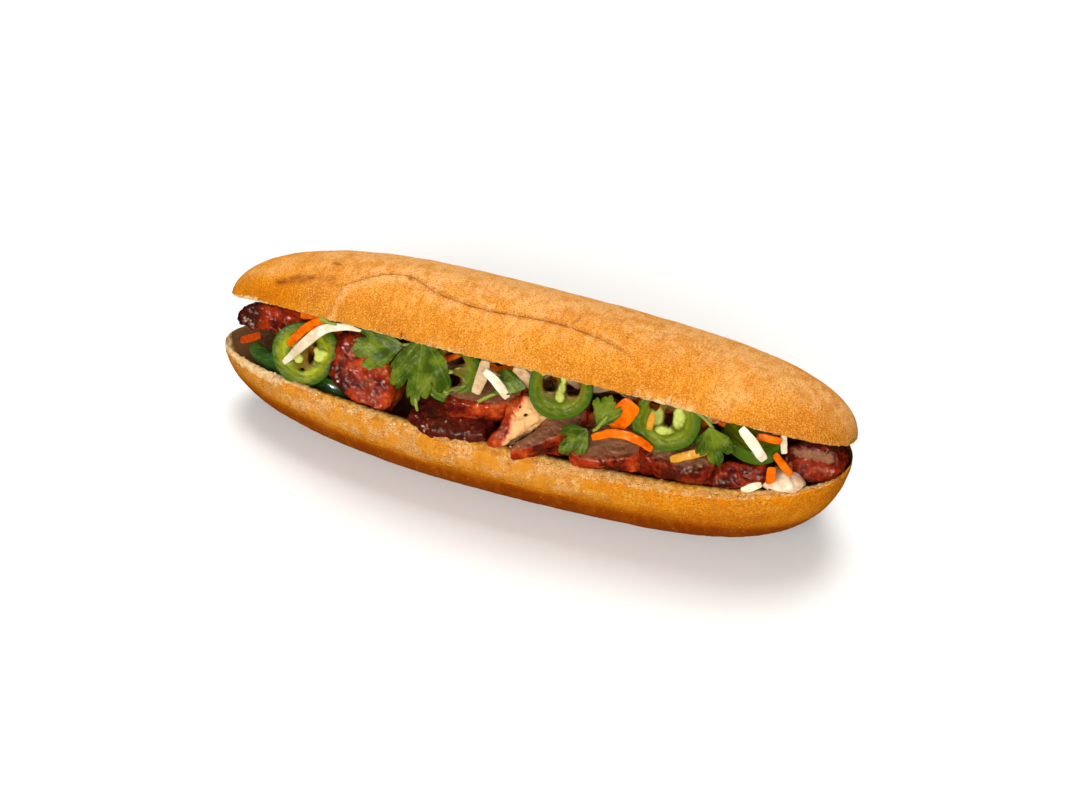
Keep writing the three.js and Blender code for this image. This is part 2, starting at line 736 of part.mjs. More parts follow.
addNode('bread', makeBread(), 0xdd9a4e, 0.7);
DAIKON.forEach((spec, i) => addNode(`daikon_${i + 1}`, solidOf(makeShred(spec, i)), 0xefe8d6, 0.35));
CARROT.forEach((spec, i) => addNode(`carrot_${i + 1}`, solidOf(makeShred(spec, i + 9)), 0xe8781c, 0.35));
CORIANDER.forEach((spec, i) => addNode(`coriander_${i + 1}`, solidOf(makeLeaf(spec, i + 1)), 0x4f7d2a, 0.5));
CHILLI.forEach((spec, i) => addNode(`chilli_${i + 1}`, solidOf(makeChilliRing(spec, i)), 0x8aa33a, 0.3));
PORK.forEach((spec, i) => addNode(`pork_${i + 1}`, solidOf(makeSlice(spec, i + 1)), 0x8a3020, 0.3));
addNode('cucumber', solidOf(makeCucumber(CUCUMBER)), 0x2f5a26, 0.35);
addNode('mayonnaise', solidOf(makeMayonnaise(MAYONNAISE)), 0xf3dfc8, 0.35);
addNode('pickle_heap', makeHeap(), 0xd9a066, 0.5);

// The opened lid reaches further back than the heel reaches forward, so the loaf is moved to
// stand over the origin.
const extent = new THREE.Box3().setFromObject(sandwich);
const middleOf = extent.getCenter(new THREE.Vector3());
for (const mesh of sandwich.children) mesh.geometry.translate(-middleOf.x, -middleOf.y, -extent.min.z);

export default sandwich;
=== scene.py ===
"""A banh mi sandwich: the loaf, its roast pork, chilli rings, pickle, herbs and sauce.

Sizes inside the functions are millimetres in the loaf's own frame: x runs along the loaf, the open
side faces -y and z is up. They are brought to metres and to the frame's place as each mesh is made.
"""

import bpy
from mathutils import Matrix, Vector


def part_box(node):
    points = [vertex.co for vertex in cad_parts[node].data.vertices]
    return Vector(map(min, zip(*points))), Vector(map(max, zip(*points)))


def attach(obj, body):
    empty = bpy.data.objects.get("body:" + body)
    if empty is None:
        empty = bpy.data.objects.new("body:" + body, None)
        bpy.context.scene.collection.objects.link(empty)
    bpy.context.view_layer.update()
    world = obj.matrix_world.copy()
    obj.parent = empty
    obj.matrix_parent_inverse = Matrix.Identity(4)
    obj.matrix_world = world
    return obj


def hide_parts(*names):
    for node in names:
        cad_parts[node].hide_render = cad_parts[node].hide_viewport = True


bl_info = {
    "name": "Banh mi sandwich",
    "version": (1, 0, 0),
    "blender": (4, 5, 0),
    "location": "3D View > Sidebar > Sandwich",
    "description": "Makes a filled crusty roll over its solid model",
    "category": "Add Mesh",
}

from math import cos, pi, radians, sin

import bpy
import numpy as np
from bpy.props import FloatProperty, FloatVectorProperty, IntProperty, PointerProperty
from bpy.types import Operator, Panel, PropertyGroup
from mathutils import Euler, Matrix, Vector

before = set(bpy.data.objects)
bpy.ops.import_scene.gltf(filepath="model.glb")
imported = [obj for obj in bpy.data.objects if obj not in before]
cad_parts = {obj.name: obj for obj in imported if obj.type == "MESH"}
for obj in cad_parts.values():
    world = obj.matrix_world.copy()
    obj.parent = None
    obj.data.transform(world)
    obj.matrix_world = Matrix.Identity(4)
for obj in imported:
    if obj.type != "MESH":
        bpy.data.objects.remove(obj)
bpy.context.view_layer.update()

MM = 0.001

# ---------------------------------------------------------------- the loaf's shape

HALF = 132.5  # half its length
HALF_WIDTH = 37.5
SLIT_HEIGHT = 29.8
HEEL_DEPTH = 35.5
LID_RISE = 27.3
HINGE_Y = HALF_WIDTH - 2.0
HEEL_HOLLOW = 11.0
RIM_LIP = 1.6
LID_HOLLOW = 9.0
FLAT_SOFTNESS = 1.2  # how gently the side turns into the flat underside
MIDDLE_OPENING = 30.5
CROWN_TAPER = 0.15
LID_GIRTH = 115  # the crust's length from rim to rim, over the lid and under the heel
HEEL_GIRTH = 150
FLOOR_GAP, CEILING_GAP = 0.5, 0.6  # between filling and crumb
PRESS_SOFTNESS = 1.5

# How the two ends differ, left and right. The last four are the powers of the rounding towards a
# tip, seen from above and from the front.
ENDS = {
    "opening": (41, 30), "sag": (13.5, 6.7), "sweep": (2, 1), "lift": (-5, 4.5),
    "lid_plan": (1.7, 5.5), "lid_height": (2.9, 4.3), "heel_plan": (1.8, 4.1), "heel_height": (3.1, 6.0),
}

# The loaf's own frame against the row's: the opened lid moves the middle of the box.
SHIFT_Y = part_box("bread")[0].y / MM + HALF_WIDTH


def smooth(value, low, high):
    """0 below low, 1 above high, with a soft step between; low may be the larger."""
    t = np.clip((value - low) / (high - low), 0, 1)
    return t * t * (3 - 2 * t)


def bump(value, at, width):
    """1 where value is at, and near 0 from two widths away."""
    return np.exp(-(((value - at) / width) ** 2))


def waver(t, wavelength, seed):
    """An uneven line that is the same on every run: a sum of sines with no short period."""
    k = 2 * pi * t / wavelength
    terms = ((0.5, 1, 1), (0.3, 2.17, 2.3), (0.2, 4.31, 3.7))
    return sum(size * np.sin(rate * k + shift * seed) for size, rate, shift in terms)


def lumps(points, wavelength, seed):
    """Uneven in all three directions, for swellings on a surface."""
    x, y, z = points[..., 0], points[..., 1], points[..., 2]
    return (
        waver(x + 0.7 * y, wavelength, seed)
        + waver(y - 0.6 * z, wavelength, seed + 2)
        + waver(z + 0.5 * x, wavelength, seed + 5)
    ) / 3


def xyz(x, y, z):
    return np.stack(np.broadcast_arrays(x, y, z), axis=-1)


def at_end(x, name):
    return np.where(x < 0, *ENDS[name])


def fullness(x, bluntness):
    """How full the loaf still is at x: 1 in the middle, 0 at the tips."""
    return np.sqrt(np.maximum(0, 1 - np.abs(x / HALF) ** bluntness))


def sweep_at(x):
    return at_end(x, "sweep") * (x / HALF) ** 2


def slit_at(x):
    return SLIT_HEIGHT + at_end(x, "lift") * np.abs(x / HALF) ** 3


def lid_half_width(x):
    return HALF_WIDTH * fullness(x, at_end(x, "lid_plan"))


def heel_half_width(x):
    return HALF_WIDTH * fullness(x, at_end(x, "heel_plan"))


def heel_depth(x):
    return HEEL_DEPTH * fullness(x, at_end(x, "heel_height"))


def lid_rise(x):
    return LID_RISE * fullness(x, at_end(x, "lid_height")) * (1 - CROWN_TAPER * x / HALF)


def lid_hollow(x):
    return np.minimum(LID_HOLLOW, lid_rise(x) * 0.35)


def crumb_height(x, v):
    """The heel's crumb above the slit. v runs from -1 at the front to 1 at the back."""
    pressed = smooth(np.abs(v), 0.87, 0.45)
    lip = RIM_LIP * fullness(x, 4) * np.sin(pi * np.clip((1 - np.abs(v)) / 0.26, 0, 1))
    return lip - np.minimum(HEEL_HOLLOW, heel_depth(x) * 0.4) * pressed


def opening_at(x):
    return np.radians(MIDDLE_OPENING + (at_end(x, "opening") - MIDDLE_OPENING) * (x / HALF) ** 2)


def open_lid(x, y, z):
    """From the closed loaf, where z is measured from the slit, to the opened lid."""
    angle = opening_at(x)
    reach = HINGE_Y - y
    sag = at_end(x, "sag") * (x / HALF) ** 2 * np.clip(reach / (1.2 * HALF_WIDTH), 0, 1)
    opened_y = HINGE_Y - reach * np.cos(angle) + z * np.sin(angle)
    return xyz(x, opened_y, SLIT_HEIGHT + reach * np.sin(angle) + z * np.cos(angle) - sag)


def arc(turn, half_width, height, power):
    """A rounded box arc: turn 0 is the slit at the front, 1 the back."""
    c, s = np.cos(pi * turn), np.maximum(np.sin(pi * turn), 0)
    return -half_width * np.sign(c) * np.abs(c) ** (2 / power), height * s ** (2 / power)


def floor_at(x, y):
    """How low filling may lie on the heel's crumb over the point x, y."""
    v = np.clip((y - sweep_at(x)) / np.maximum(heel_half_width(x), 1e-3), -1, 1)
    return slit_at(x) + crumb_height(x, v) + FLOOR_GAP


def ceiling_at(x, y):
    """How high filling may reach under the lid's crumb over the point x, y."""
    b = np.maximum(lid_half_width(x), 1e-3)
    angle = opening_at(x)
    hollow = lid_hollow(x)
    for _ in range(4):
        closed_y = HINGE_Y - (HINGE_Y - y + hollow * np.sin(angle)) / np.cos(angle)
        v = np.clip((closed_y - sweep_at(x)) / b, -1, 1)
        hollow = lid_hollow(x) * (1 - v**4)
    inside = np.abs(closed_y - sweep_at(x)) < b
    return np.where(inside, open_lid(x, closed_y, hollow)[..., 2] - CEILING_GAP, 1e3)


def keep_in_mouth(points, soft=False):
    """Presses filling clear of the two crumbs. A soft press leaves no crease."""
    x, y = points[..., 0], points[..., 1]
    low, high = floor_at(x, y), ceiling_at(x, y)
    middle = (low + high) / 2
    if soft:
        room = points[..., 2] - low
        points[..., 2] = low + 0.5 * (room + np.sqrt(room**2 + PRESS_SOFTNESS))
        room = high - points[..., 2]
        points[..., 2] = high - 0.5 * (room + np.sqrt(room**2 + PRESS_SOFTNESS))
    points[..., 2] = np.clip(points[..., 2], np.minimum(low, middle), np.maximum(high, middle))
    return points


# ---------------------------------------------------------------- making meshes


def capped(values):
    """Rows of values round closed loops as one list, with the two end loops' means after them."""
    return np.concatenate([values.reshape(-1, *values.shape[2:]), values[:1].mean(1), values[-1:].mean(1)])


def skin(loops):
    """Points and faces of a closed skin over rows of closed loops; the last axis is x, y, z."""
    rows, around = loops.shape[:2]
    i = np.arange(rows - 1)[:, None] * around
    j = np.arange(around)
    k = (j + 1) % around
    quads = np.stack([i + j, i + around + j, i + around + k, i + k], axis=-1).reshape(-1, 4)
    base, first, last = (rows - 1) * around, rows * around, rows * around + 1
    ends = [[first, a, b] for a, b in zip(j, k)] + [[last, base + b, base + a] for a, b in zip(j, k)]
    return capped(loops), quads.tolist() + ends


def grid_normals(grid):
    """Outward unit normals of an open grid of points, rows along x and columns round the loaf."""
    normal = np.cross(np.gradient(grid, axis=0), np.gradient(grid, axis=1))
    return normal / np.maximum(np.linalg.norm(normal, axis=-1, keepdims=True), 1e-9)


def in_scene(name, data):
    thing = bpy.data.objects.new(name, data)
    bpy.context.scene.collection.objects.link(thing)
    return thing


def new_piece(name, points, faces, layers=None, edges=()):
    """A mesh object in metres, in the row's frame, with smooth faces and named point layers."""
    placed = (np.asarray(points, float) + (0, SHIFT_Y, 0)) * MM
    mesh = bpy.data.meshes.new(name)
    mesh.from_pydata(placed.tolist(), edges, [list(map(int, face)) for face in faces])
    for key, values in (layers or {}).items():
        layer = mesh.attributes.new(key, "FLOAT", "POINT")
        layer.data.foreach_set("value", np.asarray(values, np.float32).ravel())
    mesh.polygons.foreach_set("use_smooth", [True] * len(mesh.polygons))
    mesh.update()
    return in_scene(name, mesh)


def lofted(name, loops, **layers):
    """A closed piece over loops. Each layer is one number or a value for each loop point."""
    values = {key: capped(np.broadcast_to(value, loops.shape[:2])) for key, value in layers.items()}
    return new_piece(name, *skin(loops), values)


def evaluated_mesh(thing):
    graph = bpy.context.evaluated_depsgraph_get()
    return bpy.data.meshes.new_from_object(thing.evaluated_get(graph), depsgraph=graph)


def with_nodes(piece, tree, **values):
    """Puts a tree's result into the piece as its plain mesh. values are the tree's inputs."""
    modifier = piece.modifiers.new(tree.name, "NODES")
    modifier.node_group = tree
    for item in tree.interface.items_tree:
        key = item.name.lower().replace(" ", "_")
        if item.item_type == "SOCKET" and item.in_out == "INPUT" and key in values:
            modifier[item.identifier] = values[key]
    made, old = evaluated_mesh(piece), piece.data
    piece.modifiers.clear()
    piece.data = made
    bpy.data.meshes.remove(old)
    made.name = piece.name


def finish_piece(piece, material, slot, *nodes):
    """Gives a piece its material and the solids that it stands for; slot is not used."""
    if not piece.data.materials:
        piece.data.materials.append(material)
    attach(piece, "root")
    if nodes:
        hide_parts(*nodes)


def arithmetic(kind, swapped=False):
    """A method that joins a Value and the other term of a sum in a Math node."""

    def join(self, other):
        a, b = (other, self) if swapped else (self, other)
        return self.nodes.add("ShaderNodeMath", {0: a, 1: b}, operation=kind)

    return join


class Value:
    """What a node puts out. Sums and products of Values become Math nodes."""

    def __init__(self, nodes, socket):
        self.nodes, self.socket = nodes, socket

    __add__, __mul__, __pow__ = arithmetic("ADD"), arithmetic("MULTIPLY"), arithmetic("POWER")
    __sub__, __rsub__ = arithmetic("SUBTRACT"), arithmetic("SUBTRACT", swapped=True)
    __rtruediv__ = arithmetic("DIVIDE", swapped=True)

    def __abs__(self):
        return self.nodes.add("ShaderNodeMath", {0: self}, operation="ABSOLUTE")

    def clamped(self):
        self.socket.node.use_clamp = True
        return self

    def range(self, low, high, to_low=0, to_high=1):
        """Brings low and high to to_low and to_high, with soft ends."""
        inputs = {0: self, 1: low, 2: high, 3: to_low, 4: to_high}
        return self.nodes.add("ShaderNodeMapRange", inputs, interpolation_type="SMOOTHSTEP")


class Nodes:
    """A node tree that is written from left to right. where is the place that its noises read."""

    where = None

    def __init__(self, tree):
        self.tree = tree

    def add(self, kind, inputs=(), out=0, **settings):
        """Adds a node. inputs maps a socket's name or number to a constant or a Value."""
        node = self.tree.nodes.new(kind)
        for key, value in settings.items():
            setattr(node, key, value)
        for key, value in dict(inputs).items():
            socket = node.inputs[key]
            if isinstance(value, Value):
                self.tree.links.new(value.socket, socket)
            else:
                socket.default_value = (*value, 1)[:4] if socket.type == "RGBA" else value
        return Value(self, node.outputs[out]) if node.outputs else node

    def layer(self, name):
        """A point layer of the mesh, as a number."""
        return self.add("ShaderNodeAttribute", attribute_name=name, out=2)

    def noise(self, scale, detail=2, where=None, roughness=0.5, out=0):
        inputs = {"Vector": where or self.where, "Scale": scale, "Detail": detail, "Roughness": roughness}
        return self.add("ShaderNodeTexNoise", inputs, out)

    def cells(self, scale, feature="F1"):
        return self.add("ShaderNodeTexVoronoi", {"Vector": self.where, "Scale": scale}, feature=feature)


class Shading(Nodes):
    """A material's nodes, which read the object's coordinates and end in one surface."""

    def __init__(self, name):
        self.material = bpy.data.materials.new(name)
        self.material.use_nodes = True
        self.material.node_tree.nodes.clear()
        super().__init__(self.material.node_tree)
        self.where = self.add("ShaderNodeTexCoord", out=3)

    def stretched(self, *scale, rotation=(0, 0, 0)):
        return self.add("ShaderNodeMapping", {0: self.where, "Rotation": rotation, "Scale": scale})

    def blend(self, factor, a, b, kind="MIX"):
        """Mixes two colours."""
        return self.add("ShaderNodeMix", {0: factor, 6: a, 7: b}, out=2, data_type="RGBA", blend_type=kind)

    def coats(self, colour, *coats):
        """Lays coats over a colour, each with its cover first: (cover, colour)."""
        for cover, coat, *kind in coats:
            colour = self.blend(cover, colour, coat, *kind)
        return colour

    def ramp(self, value, *stops):
        """Colours along a value: stops are (position, colour)."""
        ramp = self.add("ShaderNodeValToRGB", {0: value})
        elements = ramp.socket.node.color_ramp.elements
        while len(elements) < len(stops):
            elements.new(0.5)
        for element, (position, colour) in zip(elements, stops):
            element.position = position
            element.color = (*colour, 1)
        return ramp

    def surface(self, bumps, **sockets):
        """Ends the material. bumps are (height, distance in metres, strength)."""
        inputs, below = {}, {}
        for key, value in sockets.items():
            inputs[key.replace("_", " ").title().replace("Ior", "IOR")] = value
        for height, distance, strength in bumps:
            heights = {"Height": height, "Distance": distance, "Strength": strength}
            below = {"Normal": self.add("ShaderNodeBump", heights | below)}
        shader = self.add("ShaderNodeBsdfPrincipled", inputs | below)
        self.add("ShaderNodeOutputMaterial", {"Surface": shader})
        return self.material


def mottled(name, scale, tones, bump, detail=2, stretch=None, **sockets):
    """A material that one noise colours and roughens. bump is a distance and a strength."""
    nodes = Shading(name)
    noise = nodes.noise(scale, detail, nodes.stretched(*stretch) if stretch else None)
    return nodes.surface(((noise, *bump),), base_color=nodes.ramp(noise, *tones), **sockets)


class Growth(Nodes):
    """A Geometry Nodes tree with named inputs that ends in Realize Instances and Set Material."""

    def __init__(self, name, inputs):
        tree = bpy.data.node_groups.new(name, "GeometryNodeTree")
        super().__init__(tree)
        tree.interface.new_socket("Geometry", in_out="INPUT", socket_type="NodeSocketGeometry")
        for label, default in inputs.items():
            kind = "NodeSocketInt" if isinstance(default, int) else "NodeSocketFloat"
            tree.interface.new_socket(label, in_out="INPUT", socket_type=kind).default_value = default
        tree.interface.new_socket("Geometry", in_out="OUTPUT", socket_type="NodeSocketGeometry")
        self.entry = tree.nodes.new("NodeGroupInput")
        self.start = self["Geometry"]
        self.where = self.add("GeometryNodeInputPosition")

    def __getitem__(self, label):
        return Value(self, self.entry.outputs[label])

    def layer(self, name, kind="FLOAT"):
        return self.add("GeometryNodeInputNamedAttribute", {"Name": name}, data_type=kind)

    def vector(self, operation, a, b):
        inputs = {0: a, "Scale" if operation == "SCALE" else 1: b}
        return self.add("ShaderNodeVectorMath", inputs, operation=operation)

    def raised(self, height):
        """The entering mesh, moved along its normals by a height in metres."""
        offset = self.vector("SCALE", self.add("GeometryNodeInputNormal"), height)
        return self.add("GeometryNodeSetPosition", {"Geometry": self.start, "Offset": offset})

    def shaken(self, geometry, scale, distance, detail=2):
        """Geometry moved unevenly, in all directions."""
        push = self.vector("SUBTRACT", self.noise(scale, detail, out=1), (0.5, 0.5, 0.5))
        offset = self.vector("SCALE", push, distance)
        return self.add("GeometryNodeSetPosition", {"Geometry": geometry, "Offset": offset})

    def finish(self, geometry, material):
        real = self.add("GeometryNodeRealizeInstances", {0: geometry})
        painted = self.add("GeometryNodeSetMaterial", {"Geometry": real, "Material": material})
        end = self.tree.nodes.new("NodeGroupOutput")
        self.tree.links.new(painted.socket, end.inputs[0])
        return self.tree


# ---------------------------------------------------------------- the loaf

# Where the baker's score runs round the lid, as x and turn, from its left end to its right.
SCORE = (
    (-92, 0.2), (-80, 0.175), (-75.6, 0.165), (-71.4, 0.191), (-67.6, 0.224), (-63.9, 0.254),
    (-59.7, 0.284), (-56, 0.3), (-51.7, 0.308), (-47, 0.306), (-43.2, 0.29), (-39.5, 0.268), (-35.8, 0.25),
    (-31.6, 0.241), (-20.4, 0.224), (-9.8, 0.221), (0.3, 0.231), (9.3, 0.242), (17.2, 0.245),
    (26.3, 0.237), (34.7, 0.224), (39, 0.214), (43.8, 0.197), (50, 0.19), (60, 0.19),
)
SCORE_LAP = 1.3  # how far the crust behind the score stands over it
SCORE_ROWS, SCORE_STEP = 10, 0.03  # rows lie close over this part of a turn, past the score

CHIPS = ((1.3, 66, 11), (0.5, -25, 8))  # out of the lid's torn edge: depth, place and half width

# Folds and cracks in the lid's crust: points (x, turn), half width in mm, depth in mm (a ridge
# is negative) and how dark, which is partly burnt colour and partly painted shade where they sink in; a
# negative value makes a ridge pale.
LID_MARKS = (
    (((-105, 0.142), (-100, 0.17), (-96, 0.187), (-91, 0.192)), 1.7, 0.45, 0.55),
    (((-105, 0.138), (-98, 0.142), (-93, 0.158), (-90, 0.186)), 1.3, 0.25, 0.4),
    (((-90, 0.187), (-85, 0.197), (-80, 0.2)), 1.4, 0.2, 0.25),
    (((-75.6, 0.0), (-74.5, 0.03), (-73.5, 0.09), (-72.4, 0.134), (-70.8, 0.177)), 1.2, -0.9, -0.5),
    (((-78.0, 0.0), (-77.0, 0.04), (-76.0, 0.09), (-74.9, 0.14)), 0.8, 0.3, 0.15),
    (((-82.5, 0.304), (-80.9, 0.298)), 1.0, 0.2, 0.8),
    (((-47.5, 0.29), (-46.8, 0.28)), 0.8, 0.2, 0.7),
    (((-52.5, 0.26), (-51.9, 0.255)), 0.7, 0.2, 0.5),
    (((22.5, 0.254), (23.6, 0.278), (24.1, 0.304)), 0.5, 0.4, 0.6),
    (((42, 0.2), (47, 0.185), (49, 0.165)), 0.6, 0.3, 0.3),
    (((-43.2, 0.0), (-42.6, 0.014), (-42.9, 0.026)), 0.45, 0.9, 0.9),
    (((-52.5, 0.0), (-52.9, 0.016)), 0.4, 0.6, 0.7),
)
# The heel's crease, as x and turn from the front rim. It is sunk, and painted darker as shade in the
# crease.
HEEL_CREASE = (
    (-86, 0.075), (-67, 0.08), (-53.3, 0.08), (-40.1, 0.085), (-31.6, 0.09), (-15.7, 0.069), (-0.3, 0.069),
    (11.4, 0.087), (21.5, 0.09), (36.3, 0.062), (48.5, 0.052),
)
EDGE_POINTS, EDGE_PASSES = 4, 3  # how far the rim's corners are softened, and how often
FOLD_ENDS = (-84, 112)
FOLD_SECTIONS, FOLD_POINTS = 260, 28
FOLD_INSET = 4.5  # from the crust's outside to the middle of the fold
FOLD_HALF_DEPTH, FOLD_HALF_HEIGHT = 4.9, 8.5


def score_turn(x):
    at, turn = np.array(SCORE).T
    return np.interp(x, at, turn) + 0.0012 * waver(x, 6.3, 4)


def score_lap(x):
    return SCORE_LAP * (0.35 * smooth(x, -92, -82) + 0.65 * smooth(x, -76, -66)) * smooth(x, 50, 38)


def stations(count):
    """Places along the loaf, almost to its tips and closer together towards them."""
    t = np.linspace(-1, 1, count)
    return HALF * 0.9998 * np.sign(t) * (1 - (1 - np.abs(t)) ** 1.3)


def marks_on(x, turn, girth, marks):
    """Depth and darkening of folds at each point, partly burnt colour and partly painted shade down in
    them. girth is millimetres for a whole turn.
    """
    depth, brown = np.zeros_like(x), np.zeros_like(x)
    for line, width, deep, dark in marks:
        near = np.full_like(x, 1e3)
        for (x0, t0), (x1, t1) in zip(line, line[1:]):
            ax, at = x1 - x0, (t1 - t0) * girth
            px, pt = x - x0, (turn - t0) * girth
            share = np.clip((px * ax + pt * at) / (ax * ax + at * at), 0, 1)
            near = np.minimum(near, np.hypot(px - share * ax, pt - share * at))
        depth += deep * bump(near, 0, width)
        brown += dark * bump(near, 0, 1.3 * width)
    return depth, brown


def lid_grid(settings):
    """The lid's crust from front to back and the crumb under it, as rows of points along x, with
    each layer's value on the crust and on the crumb."""
    ends = stations(settings.stations)[:, None]
    score = score_turn(ends)
    front = score * np.sin(pi / 2 * np.linspace(0, 1, settings.front_rows)) ** 0.9
    step = score + np.linspace(0, 1, SCORE_ROWS)[1:] * SCORE_STEP
    back_share = np.linspace(0, 1, settings.back_rows)[1:]
    back = score + SCORE_STEP + (1 - score - SCORE_STEP) * back_share**1.15
    turn = np.concatenate([front, step, back], axis=1)
    x = np.broadcast_to(ends, turn.shape)
    lap = score_lap(x)
    share = lap / SCORE_LAP

    past = (turn - score_turn(x)) * LID_GIRTH  # millimetres past the score
    raised = lap * smooth(past, -0.25, 1.1) * np.clip((0.62 - turn) / 0.3, 0, 1)
    y, z = arc(turn, lid_half_width(x) + raised, lid_rise(x) + raised, 2.2)
    crust = open_lid(x, y + sweep_at(x), z)
    mark_depth, mark_brown = marks_on(x, turn, LID_GIRTH, LID_MARKS)
    groove = 0.3 * share * bump(past, -0.4, 0.35)
    crust += grid_normals(crust) * (-groove - mark_depth)[..., None]

    # The torn edge over the mouth, with chips out of it towards the right.
    down = turn * LID_GIRTH
    edge = np.exp(-down / 1.8)
    full = fullness(x, 2) ** 2
    tear = 0.8 * waver(x, 17, 1) + 0.6 * waver(x, 5.1, 3) + 0.35 * waver(x, 1.7, 8)
    chips = sum(deep * bump(x, at, width) for deep, at, width in CHIPS)
    chip = chips * (0.6 + 0.5 * waver(x, 4.2, 2))
    crust[..., 1] += edge * full * tear
    crust[..., 2] += edge * (0.6 * full * waver(x, 17, 4) + 0.7 * full * waver(x, 3.9, 5) + 1.2 * chip)

    v = -np.cos(pi * np.arange(1, settings.crumb_rows) / settings.crumb_rows)
    inward = (1 - np.abs(v)) * HALF_WIDTH
    crumb = open_lid(ends, -v * lid_half_width(ends) + sweep_at(ends), lid_hollow(ends) * (1 - v**4))

    # The score's dark line and the soft darkening in front of it: painted shadow under the lap's
    # overhanging edge, with some burnt colour.
    score_brown = (0.55 + 0.35 * smooth(x, -45, -60)) * bump(past, -0.4, 0.3) + 0.14 * bump(past, -1.2, 1.1)
    left_gold = smooth(x, -80, -108) * smooth(turn, 0.26, 0.06)
    left_tip = smooth(x, -102, -118)
    # Painted sheen: the top of the lid is painted paler where the light from behind glances off it.
    crown = (1 + 0.6 * bump(x, -20, 40)) * bump(turn, 0.46, 0.2) * smooth(x, -128, -75)
    below = smooth(past, -13, -3) * smooth(past, 0.5, -1)
    rim_crumb = smooth(down, 1.3 + 5 * left_tip, 0.0) * (0.45 + 0.4 * chip + 0.5 * left_tip)
    pale_rim = 1.8 * np.maximum(-mark_brown, 0) + 1.3 * chip * smooth(down, 7, 0)
    layers = {
        "crumb": (rim_crumb + 0.42 * chip * smooth(down, 11, 1), 1),
        "brown": (mark_brown + share * score_brown, 0),
        # Pale: paler crust at marks, chips and in front of the score, the painted sheen on top of the lid,
        # and a painted highlight along the score's raised lip.
        "pale": (crown + pale_rim + 0.3 * share * (below + bump(past, 1.6, 1.2)), 0),
        "low": (0.45 * left_gold, 0),
        "torn": (np.exp(-down / 1.6) + chip * np.exp(-down / 4), 0.5 * bump(inward, 0, 6)),
        "soak": (0, 0),
        "toast": (0.35, 0.2),
    }
    return crust, crumb, layers


def heel_grid(settings):
    """The heel's crust from the back down and forward and its crumb, as in lid_grid."""
    ends = stations(settings.stations)[:, None]
    share = np.linspace(0, 1, settings.heel_rows)
    turn = (1 - share) ** 1.3 + 0 * ends  # rows lie closer at the front
    x = np.broadcast_to(ends, turn.shape)
    past = turn * HEEL_GIRTH  # millimetres below the front rim

    def rim_tear(x, away):
        tear = 0.8 * waver(x, 17, 2) + 0.6 * waver(x, 6.7, 5) + 0.25 * waver(x, 2.9, 3)
        return np.exp(-away / 2.2) * fullness(x, 2) ** 2 * tear

    y, z = arc(turn, heel_half_width(x), heel_depth(x), 2.6)
    height = slit_at(x) - z
    height = 0.5 * (height + np.sqrt(height**2 + FLAT_SOFTNESS**2))
    crust = xyz(x, y + sweep_at(x), height)
    # The crease's darkening is painted shade in it.
    mark_depth, mark_brown = marks_on(x, turn, HEEL_GIRTH, ((HEEL_CREASE, 0.9, 0.5, 0.25),))
    crease_x, crease_turn = np.array(HEEL_CREASE).T
    under = smooth(past - HEEL_GIRTH * np.interp(x, crease_x, crease_turn), -0.6, 1.6)  # below the crease
    band = (1 - under) * smooth(x, -112, -92) * (0.3 + 0.7 * smooth(x, 85, 35)) * smooth(x, 125, 105)
    puff = bump(past, 5.5, 4.5) * (0.55 + 0.45 * waver(x, 31, 6)) * fullness(x, 3)
    crust += grid_normals(crust) * ((1.5 * puff - mark_depth) * smooth(height, 0.2, 5))[..., None]
    crust[..., 2] += rim_tear(x, past)

    v = -1 + 2 * (np.arange(1, settings.crumb_rows) / settings.crumb_rows) ** 1.7
    inward = (1 + v) * heel_half_width(ends)
    top = slit_at(ends) + crumb_height(ends, v) + rim_tear(ends, inward)
    crumb = xyz(ends, v * heel_half_width(ends) + sweep_at(ends), top)

    middle = smooth(ends, -104, -78) * smooth(ends, 124, 96)
    wrap = smooth(ends, -108, -86)  # how far the crust is rolled over the rim
    bare = smooth(past, 2.2, 0.2) * 0.9 * (1 - wrap)
    dark = 0.35 * smooth(x, 15, 60)
    layers = {
        "crumb": (bare, np.maximum(1 - wrap, smooth(inward, 0.6, 3.0))),
        "brown": (mark_brown, 0),
        "pale": (0.5 * band + 0.2 * puff, 0.8),
        # Low: painted shade that darkens the crust towards the underside, as if over a dark board; below
        # the crease the crust is a richer gold, and it grows richer towards the right end.
        "low": (np.maximum(0.85 * smooth(height, 23, 9) + 0.3 * under, dark), 0),
        "torn": (np.maximum(0.8 * np.exp(-past / 3), 0.85 * band), 0.8 * smooth(inward, 12, 3)),
        "toast": (0.35 + 0.6 * middle, 0.2 + 0.7 * middle),
        # Painted shade: the crumb is darkened deep in the mouth, where shade falls between the fillings.
        "soak": (0, smooth(inward, 3.0, 7.0) * (1 - 0.06 * smooth(ends, -100, -114))),
    }
    return crust, crumb, layers


def round_edge(loops, crust_rows):
    """Softens the two corners where crust meets crumb."""
    around = loops.shape[1]
    weight = np.zeros(around)
    for corner in (0, crust_rows - 1):
        gap = np.abs(np.arange(around) - corner)
        gap = np.minimum(gap, around - gap)
        weight = np.maximum(weight, np.clip(1 - gap / EDGE_POINTS, 0, 1))
    for _ in range(EDGE_PASSES):
        middle = (np.roll(loops, 1, axis=1) + np.roll(loops, -1, axis=1)) / 2
        loops = loops + 0.5 * weight[None, :, None] * (middle - loops)
    return loops


